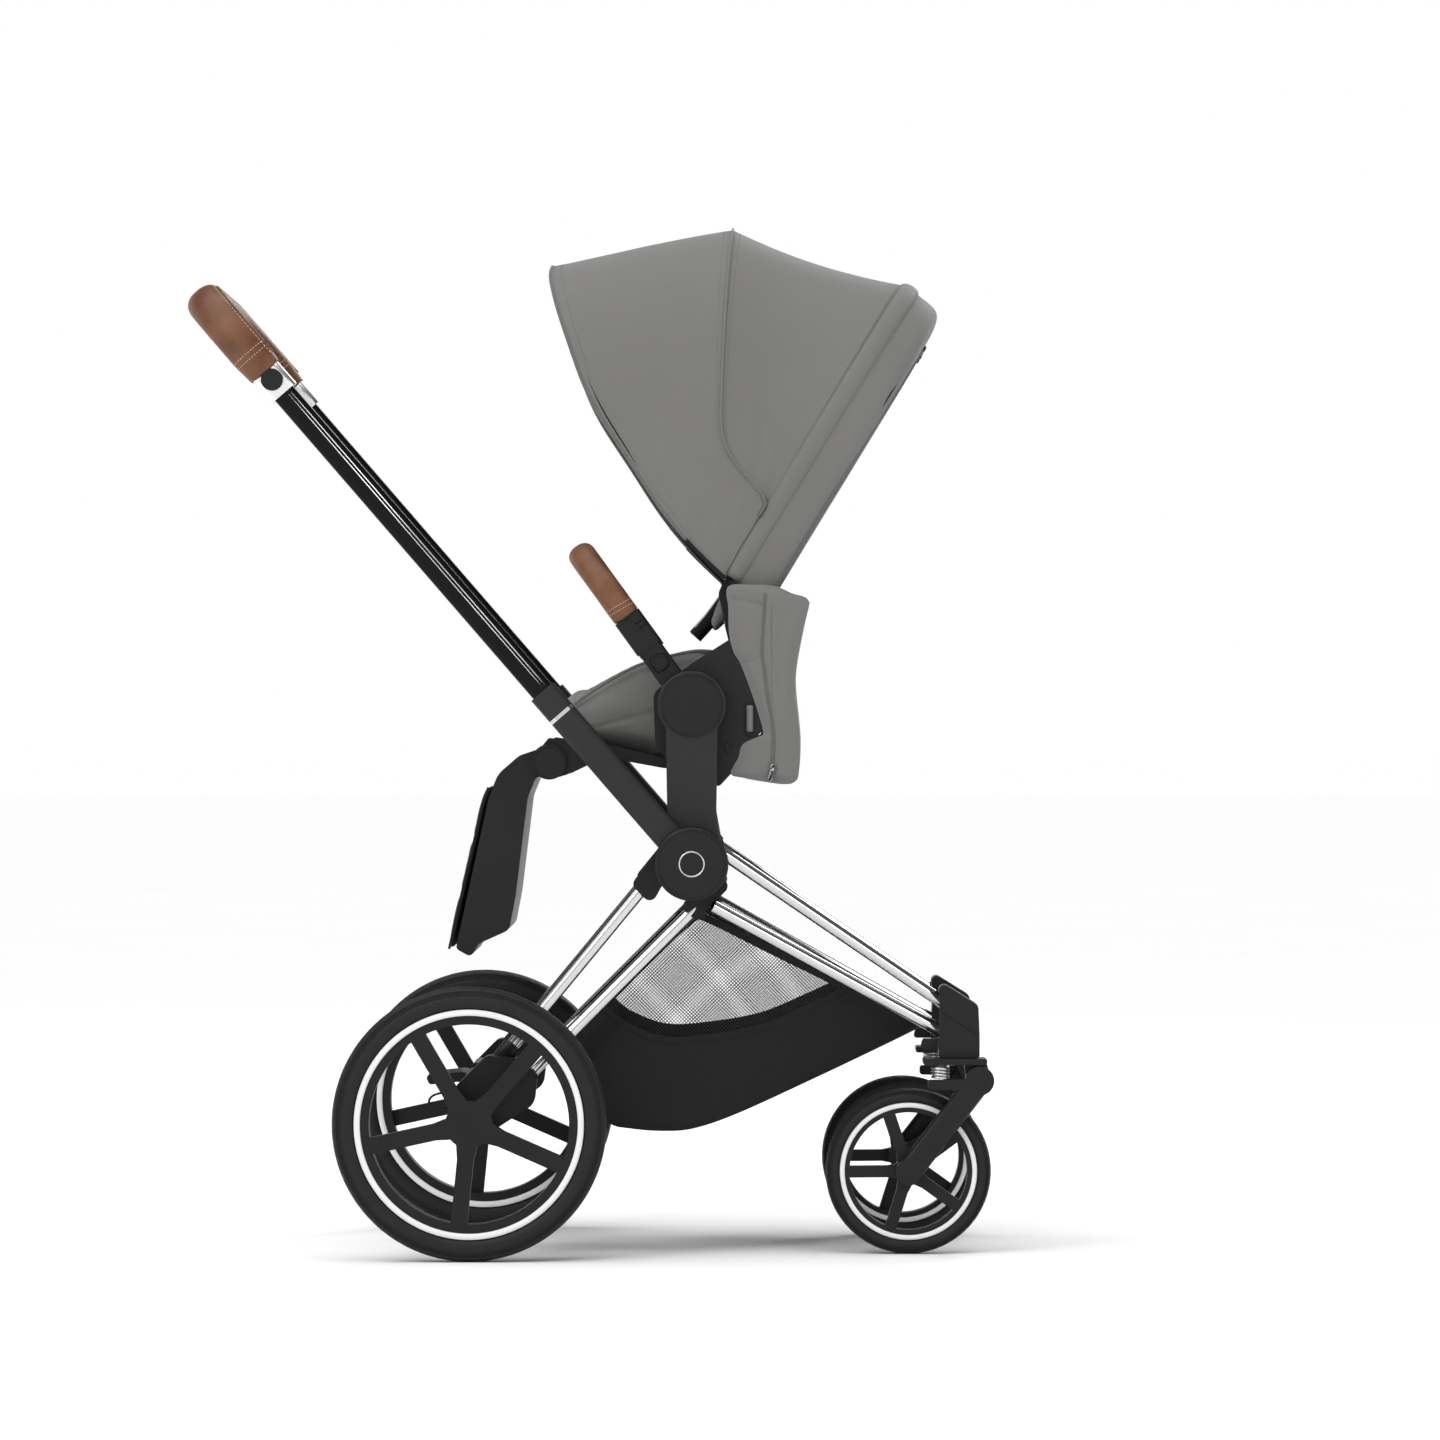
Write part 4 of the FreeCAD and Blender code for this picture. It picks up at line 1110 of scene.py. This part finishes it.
def make_harness():
    """Five-point harness: shoulder straps with pads, waist straps, crotch strap and buckle."""
    for sign, side_name in SIDES:
        upper = [at_back(u, n, -sign * y) for u, n, y in ((302, 58, 50), (296, 66, 51), (240, 66, 53),
                                                          (170, 67, 54), (100, 68, 54), (72, 69, 52))]
        belt = strap("shoulder_strap_" + side_name, upper, 30 * MM, normal=(0, 1, 0))
        give(belt, WEBBING, "backrest", ("shoulder_straps",))
        pad_line = [at_back(u, 70.5, -sign * 53.5) for u in range(95, 262, 7)]
        oval = oval_section(10 * MM, 48 * MM, 20, 3.0)(0)

        def section(i):
            end = max(0.15, 1 - abs(2 * i / (len(pad_line) - 1) - 1) ** 8) ** 0.5
            return [(s * end, u * (0.6 + 0.4 * end)) for s, u in oval]

        pad = tube("shoulder_pad_" + side_name, pad_line, section, normal=(0, 1, 0))
        inflate(pad, voxel=4 * MM, pressure=2.0, cap=2.5 * MM)
        give(pad, BLACK_CLOTH, "backrest")
    # the slack foot of each shoulder pad, with its reflective edges
    for sign, side_name in SIDES:
        slack = ((176, 742), (155, 722), (139, 700), (124, 680), (108, 662))
        bend = through([mm(x, -sign * 60, z) for x, z in slack], 40)
        foot = tube("shoulder_pad_foot_" + side_name, bend, oval_section(15 * MM, 46 * MM, 20, 3.0),
                    normal=(0, 1, 0))
        give(foot, BLACK_CLOTH, "backrest")
        edges = tubes("shoulder_pad_edge_" + side_name,
                      [[p + mm(-7.2, shift, 1.0) for p in bend[6:-4]] for shift in (-20.0, 20.0)],
                      round_section(0.9 * MM, 8))
        give(edges, REFLECTIVE, "backrest")
    path = [mm(-14, 0, 583), mm(-6, 0, 590), mm(2, 0, 596), mm(12, 0, 600)]
    crotch = strap("crotch_strap", path, 28 * MM, normal=(0, 1, 0))
    give(crotch, WEBBING, "seat_base")
    up = Vector((math.cos(BUCKLE_LEAN), 0, math.sin(BUCKLE_LEAN)))
    out = Vector((-up.z, 0, up.x))
    middle = mm(BUCKLE[0], 0, BUCKLE[1])
    rows = []
    for push, size in ((-5.0, 0.86), (-4.0, 0.97), (0.0, 1.0), (3.6, 0.97), (5.2, 0.84), (5.6, 0.4)):
        rows.append([middle + mm(0, 21 * size * signed_power(c, 0.6), 0)
                     + (up * 17 * size * signed_power(s, 0.7) + out * push) * MM for c, s in circle(32)])
    buckle = grid("harness_buckle", rows, False, True)
    cap_ends(buckle, len(rows), 32)
    modify(buckle, "SUBSURF", levels=1, render_levels=1)
    settle(buckle)
    give(buckle, BLACK_PLASTIC, "seat_base", ("crotch_buckle",))
    ring = [middle + mm(0, 8 * c, 0) + (up * 8 * s + out * 5.3) * MM for c, s in circle(40)]
    button = tube("buckle_button_ring", ring, round_section(1.1 * MM, 8), closed=True)
    give(button, DARK_COAT, "seat_base")
    for sign, side_name in SIDES:
        path = [mm(x, -sign * y, z) for x, y, z in ((122, 112, 622), (100, 100, 626), (72, 74, 621),
                                                    (46, 44, 613), (30, 21, 607))]
        belt = strap("waist_strap_" + side_name, path, 25 * MM, normal=(-0.3, 0, 1))
        give(belt, WEBBING, "seat_base")


# ======== basket ========
# XZ lines in mm: the rim, the floor and the lower edge of the side nets
BASKET_RIM = [(-22, 238), (20, 276), (62, 318), (108, 360.5), (118, 360.5), (190, 324.5), (270, 284.5),
              (353, 243)]
BASKET_FLOOR = [(-22, 237), (-12, 208), (2, 168), (17, 141), (40, 135), (73, 132.5), (106, 135), (155, 151.5),
                (236, 187.5), (304, 219), (353, 242.5)]
MESH_LOW = [(-4, 256), (8, 263), (33, 245), (73, 230), (117, 231), (182, 243), (236, 266), (274, 284)]
NET_PITCH = 2.7
NET_RADIUS = 0.27
NET_FOOT = 225.0
BASKET_BOTTOM = 133.0
# where the basket's sides turn inward, and its half width behind that
BASKET_TURN = 130.0
BASKET_HALF = 177.0


def basket_half(x):
    """Half width of the basket in mm at an x in mm."""
    return BASKET_HALF if x < BASKET_TURN else lerp(BASKET_HALF, 111.5, (x - BASKET_TURN) / 250)


def make_basket():
    """Black cloth tray with see-through side nets, hung from the chassis by its rim."""
    floor = through(flat(BASKET_FLOOR), 74)
    rows = []
    for p in floor:
        half = basket_half(p.x)
        rim = table(p.x, BASKET_RIM)
        top = min(rim, table(p.x, MESH_LOW)) if -4 < p.x < 274 else rim
        top = max(top, p.z + 0.6)
        right, inner, left = [], [], []
        for k in range(15):
            z = lerp(top, p.z, k / 14)
            height = (z - p.z) / max(1.0, top - p.z)
            y = half - 6.0 * (1 - height) ** 2 + 1.8 * math.sin(math.pi * height)
            right.append(mm(p.x, y, z))
            left.append(mm(p.x, -y, z))
        for k in range(1, 28):
            y = lerp(half - 6.0, -(half - 6.0), k / 28)
            sag = 2.6 * (1 - (y / half) ** 2)
            ripple = noise.noise(Vector((p.x * 0.018, y * 0.02, 0))) * 1.4
            inner.append(mm(p.x, y, max(BASKET_BOTTOM, p.z - sag + ripple + 1.5)))
        rows.append(right + inner + left[::-1])
    cloth = grid("basket_cloth", rows)
    modify(cloth, "SOLIDIFY", thickness=1.2 * MM, offset=0.0)
    settle(cloth)
    give(cloth, BLACK_CLOTH, "front_frame", ("basket",))

    hems = []
    for sign in (1, -1):
        low = [mm(x, sign * (basket_half(x) + 0.4), table(x, MESH_LOW)) for x in range(-4, 275, 6)]
        rim = [mm(x, sign * (basket_half(x) - 1.0), table(x, BASKET_RIM)) for x in range(-20, 352, 6)]
        hems += [low, rim]
    make_net()
    binding = tubes("basket_bindings", hems, oval_section(8.0 * MM, 2.4 * MM, 12, 3.0), normal=(0, 1, 0))
    give(binding, BLACK_CLOTH, "front_frame")
    for sign, side_name in SIDES:
        path = [mm(x, -sign * y, z) for x, y, z in ((112, 178, 358), (110, 180.5, 372), (107, 182, 388))]
        loop = strap("basket_hanger_" + side_name, path, 16 * MM, normal=(1, 0, 0))
        give(loop, WEBBING, "front_frame")


def make_net():
    """Net of the side windows: fine strands crossing on a slant, in one mesh."""
    vertices, faces = [], []
    for sign in (1, -1):
        for direction in (1, -1):
            for n in range(-130, 260):
                start = n * NET_PITCH * math.sqrt(2)
                line = []
                for x in range(-4, 277, 2):
                    z = NET_FOOT + direction * (x - start)
                    if table(x, MESH_LOW) - 0.5 <= z <= table(x, BASKET_RIM) + 0.5:
                        line.append(mm(x, sign * (basket_half(x) + 0.3 * direction - 0.6), z))
                if len(line) < 2:
                    continue
                ends = [line[0], line[-1]]
                if line[0].x < BASKET_TURN * MM < line[-1].x:
                    ends.insert(1, min(line[1:], key=lambda p: abs(p.x - BASKET_TURN * MM)))
                strand = round_section(NET_RADIUS * MM, 4)
                more, their = tube_parts(ends, strand, (0, 1, 0), False, len(vertices))
                vertices += more
                faces += their
    net = add("basket_net", vertices, faces)
    give(net, WEBBING, "front_frame")


# ======== leather grips ========
LEATHER_POWER = 2.35


def hoop_line(origin, angle, half, start, top, bend):
    """Centre line of a U-shaped bar: two legs along a lean, two arcs and a top run, in metres."""
    def at(y, distance):
        x, z = on_line(origin, angle, distance)
        return mm(x, y, z)

    leg = [(half, start), (half, lerp(start, top - bend, 0.5)), (half, top - bend)]
    for k in range(1, 16):
        a = math.pi / 2 * k / 16
        leg.append((half - bend * (1 - math.cos(a)), top - bend + bend * math.sin(a)))
    leg.append((half - bend, top))
    points = [at(-y, d) for y, d in leg] + [at(0, top)] + [at(y, d) for y, d in reversed(leg)]
    return evenly(points, 200)


def leather_hoop(name, line, lean, depth, width, mouth, body, node):
    """Leather sleeve over a hoop: oval section and rolled mouths."""
    last = len(line) - 1
    oval = oval_section(width * MM, depth * MM, 32, LEATHER_POWER)(0)

    def section(i):
        end = min(i, last - i) / last
        size = lerp(mouth, 1.0, smooth(0.0, 0.05, end)) * lerp(0.93, 1.0, smooth(0.0, 0.006, end))
        return [(s * size, u * size) for s, u in oval]

    grip = tube(name, line, section, normal=lean)
    press(grip, lambda p: Vector(p).normalized() * noise.noise(p * 55.0) * 0.35 * MM)
    modify(grip, "SUBSURF", levels=1, render_levels=1)
    settle(grip)
    give(grip, LEATHER, body, (node,))


def across_hoop(line, lean, i):
    """Directions along a hoop and across it, at one of its points."""
    along = (line[i + 1] - line[i]).normalized()
    return along, along.cross(lean)


def cross_rows(line, lean, places, depth, width, tilt=0.0):
    """Loops round both ends of a hoop, at distances from its mouths in metres."""
    total = length_of(line)
    rows = []
    for end in (0, 1):
        for place in places:
            i = int((1 - place / total if end else place / total) * (len(line) - 1))
            along, side = across_hoop(line, lean, i)
            slope = tilt if end else -tilt
            loop = [line[i] + side * s + lean * u + along * slope * u
                    for s, u in oval_section((width + 0.5) * MM, (depth + 0.5) * MM, 48, LEATHER_POWER)(0)]
            rows.append(loop + [loop[0]])
    return rows


def make_handle_grip():
    """Leather sleeve of the handle, its cross stitches and its long seam."""
    depth, width = 42.5, 36.0
    line = hoop_line(HUB, HANDLE_ANGLE, HANDLE_Y, 687.0, 788.5, 54.0)
    lean = Vector((math.sin(HANDLE_ANGLE), 0, -math.cos(HANDLE_ANGLE)))
    leather_hoop("handle_leather", line, lean, depth, width, 0.90, "handle_upper", "handle_grip")
    rows = cross_rows(line, lean, (0.0245, 0.0295), depth * 0.985, width * 0.985)
    row = stitches("handle_cross_stitches", rows, pitch=3.6 * MM, radius=0.4 * MM)
    give(row, THREAD, "handle_upper")

    # long seam on the side that faces the seat, with a fine row of thread beside it
    def seam(turn):
        a = math.radians(turn)
        s = -width / 2 * math.sin(a) ** (2 / LEATHER_POWER)
        u = depth / 2 * math.cos(a) ** (2 / LEATHER_POWER) + 0.1
        return [line[i] + (across_hoop(line, lean, i)[1] * s + lean * u) * MM
                for i in range(4, len(line) - 4)]

    give(tube("handle_seam", seam(20), round_section(0.8 * MM, 8)), LEATHER, "handle_upper")
    row = stitches("handle_seam_stitches", [seam(37)], pitch=4.4 * MM, radius=0.38 * MM)
    give(row, THREAD, "handle_upper")


def make_bumper_grip():
    """Leather sleeve of the bumper bar with its two kinds of stitches."""
    depth, width = 30.0, 27.0
    line = hoop_line(BUMPER_MOUTH, BUMPER_ANGLE, SIDE_Y, 81.6, 162.8, 52.0)
    lean = Vector((math.sin(BUMPER_ANGLE), 0, -math.cos(BUMPER_ANGLE)))
    leather_hoop("bumper_leather", line, lean, depth, width, 1.0, "bumper", "bumper_grip")
    row = stitches("bumper_cross_stitches", cross_rows(line, lean, (0.0120, 0.0155), depth, width, 0.1),
                   pitch=3.0 * MM, radius=0.34 * MM)
    give(row, THREAD, "bumper")
    path = [line[i] + across_hoop(line, lean, i)[1] * (width / 2 + 0.15) * MM
            for i in range(3, len(line) - 3)]
    row = stitches("bumper_seam_stitches", [path], pitch=4.0 * MM, radius=0.34 * MM)
    give(row, THREAD, "bumper")


# ======== wheels ========
def ring_profile(inner, outer, width, grooves):
    """Closed tyre section with fine grooves near the tread."""
    h = width / 2
    crown = outer - inner
    half = [(inner, h * 0.78), (inner + crown * 0.10, h * 0.93), (inner + crown * 0.30, h * 1.0),
            (inner + crown * 0.52, h * 0.985)]
    for k in range(grooves):
        r = inner + crown * (0.60 + 0.085 * k)
        y = h * (0.965 - 0.05 * k)
        half += [(r - 0.9, y), (r - 0.35, y - 0.75), (r + 0.35, y - 0.75), (r + 0.9, y - 0.1)]
    half += [(outer - crown * 0.075, h * 0.66), (outer - crown * 0.02, h * 0.46), (outer - 0.1, h * 0.34),
             (outer - 1.3, h * 0.30), (outer - 1.3, h * 0.24), (outer, h * 0.20), (outer, h * 0.05)]
    return half + [(r, -y) for r, y in reversed(half)]


def make_wheel(kind, side_name, sign, centre, y, seat, radius, width, band_radii, rim_half):
    """Treaded tyre from its seat on the rim to its radius, and the pale band on each face of the rim."""
    body = f"{kind}_wheel_{side_name}"
    profile = ring_profile(seat, radius, width, 3)
    edge = len(profile) // 2

    def sipe(segment, point):
        """Cuts every sixth segment of the tread, apart from its middle."""
        cut = segment % 6 == 0 and edge - 8 <= point < edge + 8 and not edge - 3 <= point < edge + 3
        return -0.8 if cut else 0.0

    tyre = revolved(f"{kind}_tread_{side_name}", profile, centre, sign * y, 288, sipe)
    give(tyre, RUBBER, body, (f"{kind}_tyre_{side_name}",))
    low, high = band_radii
    for side, face_name in ((sign, "outer"), (-sign, "inner")):
        band = revolved(f"{kind}_white_band_{face_name}_{side_name}",
                        [(low, -0.6 * side), (low + 0.5, 0.5 * side), ((low + high) / 2, 0.8 * side),
                         (high - 0.5, 0.5 * side), (high, -0.6 * side)],
                        centre, sign * y + side * rim_half, 192)
        give(band, WHITE_BAND, body)


# axle, y, radii of the tyre's seat and tread, its width, radii of the pale band and its distance from the middle
WHEELS = {
    "rear": (REAR_AXLE, 280.0, 121.2, 145.0, 40.0, (114.6, 121.4), 17.6),
    "front": (FRONT_AXLE, 150.0, 73.7, 88.5, 34.0, (68.0, 73.6), 14.2),
}


def make_wheels():
    for side_name in ("left", "right"):
        for kind, sizes in WHEELS.items():
            make_wheel(kind, side_name, side_of(side_name), *sizes)


def side_of(side_name):
    """+1 or -1: which side of Y the frame's left or right parts lie on."""
    low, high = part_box("rear_rim_" + side_name)
    return 1 if low.y + high.y > 0 else -1


# ======== small parts of the chassis ========
HUB_FACE = 264.0
SEAT_HUB_FACE = 230.4
SIDE_PLATE_FACE = 203.0


def make_hub_trim():
    """Generic ring on each frame hub, and the round steps of both pairs of hubs."""
    for sign, side_name in ((1, "a"), (-1, "b")):
        ring = raised_ring("hub_emblem_ring_" + side_name, (12.2, 12.6, 13.6, 14.0), 0.5 * sign, HUB,
                           sign * HUB_FACE, 96)
        give(ring, EMBLEM, "front_frame")
        line = raised_ring("hub_inner_step_" + side_name, (34.6, 35.1, 35.9, 36.4), 0.45 * sign, HUB,
                           sign * HUB_FACE, 128)
        give(line, BLACK_PLASTIC, "front_frame")
        step = raised_ring("seat_hub_step_" + side_name, (31.4, 31.9, 32.6, 33.0), 0.35 * sign, SEAT_HUB,
                           sign * SEAT_HUB_FACE, 128)
        give(step, BLACK_PLASTIC, "front_frame")


def make_wire_loops():
    """Small wire loop behind each rear housing."""
    outline = ((-150, 172), (-160, 175), (-170, 172), (-174, 166), (-170, 160.5), (-161, 159), (-150, 163))
    for sign, side_name in SIDES:
        loop = through([mm(x, -sign * 224, z) for x, z in outline], 50)
        wire = tube("rear_wire_loop_" + side_name, loop, round_section(1.3 * MM, 10))
        give(wire, BLACK_PLASTIC, "rear_frame")


def make_side_details():
    """Slot and pin of each side plate, button and joint lines of the bumper, and silver rods on the handle as
    painted highlight lines.
    """
    rail = Vector((math.cos(BUMPER_ANGLE), 0.0, math.sin(BUMPER_ANGLE)))
    across = Vector((math.sin(BUMPER_ANGLE), 0.0, -math.cos(BUMPER_ANGLE)))
    slot = ((162, 556), (171.5, 556), (172, 572), (171.5, 589), (162, 589), (161.5, 572))

    def on(origin, angle, distance, side, y):
        x, z = on_line(origin, angle, distance, side)
        return mm(x, y, z)

    for sign, side_name in SIDES:
        face = -sign * SIDE_PLATE_FACE

        bar = tube("side_slot_bar_" + side_name, [mm(166.8, face, z) for z in (558.5, 562, 583, 586.5)],
                   round_section(3.6 * MM, 20))
        give(bar, SLOT_GREY, "front_frame")
        edge = through([mm(x, face, z) for x, z in slot], 60, True)
        lip = tube("side_slot_lip_" + side_name, edge, round_section(0.9 * MM, 8), closed=True)
        give(lip, BLACK_PLASTIC, "front_frame")
        ring = raised_ring("side_pin_ring_" + side_name, (3.7, 4.0, 5.3, 5.8), -1.5 * sign, (145.5, 541.5),
                           face, 48)
        give(ring, DARK_COAT, "front_frame")

        # D-shaped edge of the button: round ahead, squarer behind
        centre = on(BUMPER_MOUTH, BUMPER_ANGLE, 22.0, 0.0, face - sign * 0.3)
        loop = [centre + (across * 9.4 * signed_power(c, 0.9 if c > 0 else 0.45)
                          + rail * 9.0 * signed_power(s, 0.75)) * MM for c, s in circle(48)]
        ring = tube("bumper_button_lip_" + side_name, loop, round_section(0.8 * MM, 8), closed=True)
        give(ring, GLOSS_BLACK, "bumper")
        lines = [[on(BUMPER_MOUTH, BUMPER_ANGLE, at, shift, -sign * 204.6) for shift in (3.0, 9.0, 14.6)]
                 for at in (70.0, 64.0)]
        grooves = tubes("bumper_collar_ribs_" + side_name, lines, round_section(0.7 * MM, 8))
        give(grooves, GLOSS_BLACK, "bumper")

        # silver rods along the glossy black handle tube, standing in for the bright lines that light draws on
        # it: a painted highlight
        lines = [[on(HUB, HANDLE_ANGLE, at, shift, -sign * (HANDLE_Y + 7.8)) for at in (246, 400, 655)]
                 for shift in (3.2, 6.6)]
        highlight_rods = tubes("handle_bright_lines_" + side_name, lines, round_section(0.6 * MM, 8))
        give(highlight_rods, BRACKET, "handle_upper")


# ======== stage ========
def make_stage():
    """Wide pale floor, which belongs to the stage and not to the object."""
    n = Nodes("pale_floor")
    tone = n.mix(n.noise(2.0, 3.0), (0.90, 0.90, 0.90), (0.93, 0.93, 0.93))
    floor = grid("studio_floor", [[Vector((x, y, 0)) for x in (-60, 60)] for y in (-60, 60)])
    floor.data.materials.append(n.set(Base_Color=tone, Roughness=0.8, Specular_IOR_Level=0.1))


def area_light(name, place, target, size, power):
    light = bpy.data.lights.new(name, "AREA")
    light.shape = "RECTANGLE"
    light.size, light.size_y = size
    light.energy = power
    obj = bpy.data.objects.new(name, light)
    bpy.context.scene.collection.objects.link(obj)
    obj.location = place
    obj.rotation_euler = (Vector(target) - Vector(place)).to_track_quat("-Z", "Y").to_euler()


def make_lights():
    """White near the horizon, a dark ring above it for contrast in the chrome and a soft bright top."""
    scene = bpy.context.scene
    world = bpy.data.worlds.new("studio")
    world.use_nodes = True
    nodes, links = world.node_tree.nodes, world.node_tree.links
    split = nodes.new("ShaderNodeSeparateXYZ")
    links.new(nodes.new("ShaderNodeTexCoord").outputs["Generated"], split.inputs[0])
    ramp = nodes.new("ShaderNodeValToRGB")
    links.new(split.outputs[2], ramp.inputs[0])
    stops = ramp.color_ramp.elements
    stops[0].position, stops[0].color = 0.24, (1, 1, 1, 1)
    stops[1].position, stops[1].color = 0.36, (0.10, 0.10, 0.10, 1)
    for place, tone in ((0.62, 0.12), (0.80, 0.45)):
        stops.new(place).color = (tone, tone, tone, 1)
    links.new(ramp.outputs[0], nodes["Background"].inputs["Color"])
    nodes["Background"].inputs["Strength"].default_value = 1.0
    scene.world = world
    sun = bpy.data.lights.new("top", "SUN")
    sun.energy = 2.4
    sun.angle = math.radians(75)
    top = bpy.data.objects.new("top", sun)
    top.rotation_euler = (math.radians(12), math.radians(-10), 0)
    scene.collection.objects.link(top)
    area_light("key", (-2.4, -4.0, 3.2), (0.0, 0, 0.6), (1.6, 2.2), 62)
    area_light("fill", (3.4, -3.8, 1.4), (0.1, 0, 0.5), (0.5, 2.4), 22)
    area_light("back", (2.0, 4.2, 3.2), (0.0, 0, 0.6), (2.0, 2.0), 70)
    scene.view_settings.view_transform = "Standard"
    scene.view_settings.look = "None"


def make_camera():
    """Level long lens from the stroller's left."""
    data = bpy.data.cameras.new("camera")
    data.sensor_width = 36.0
    data.lens = 197.5
    data.clip_end = 60.0
    obj = bpy.data.objects.new("camera", data)
    obj.location = (0.135, -8.61, 0.571)
    obj.rotation_euler = (math.radians(90), 0, 0)
    bpy.context.scene.collection.objects.link(obj)
    bpy.context.scene.camera = obj


dress_cad()
make_camera()
make_lights()
make_stage()
make_canopy()
make_hood_zip(make_hood_rear())
make_lower_cover()
make_seat()
make_leg_rest()
make_back_pad()
make_harness()
make_basket()
make_handle_grip()
make_bumper_grip()
make_wheels()
make_hub_trim()
make_wire_loops()
make_side_details()
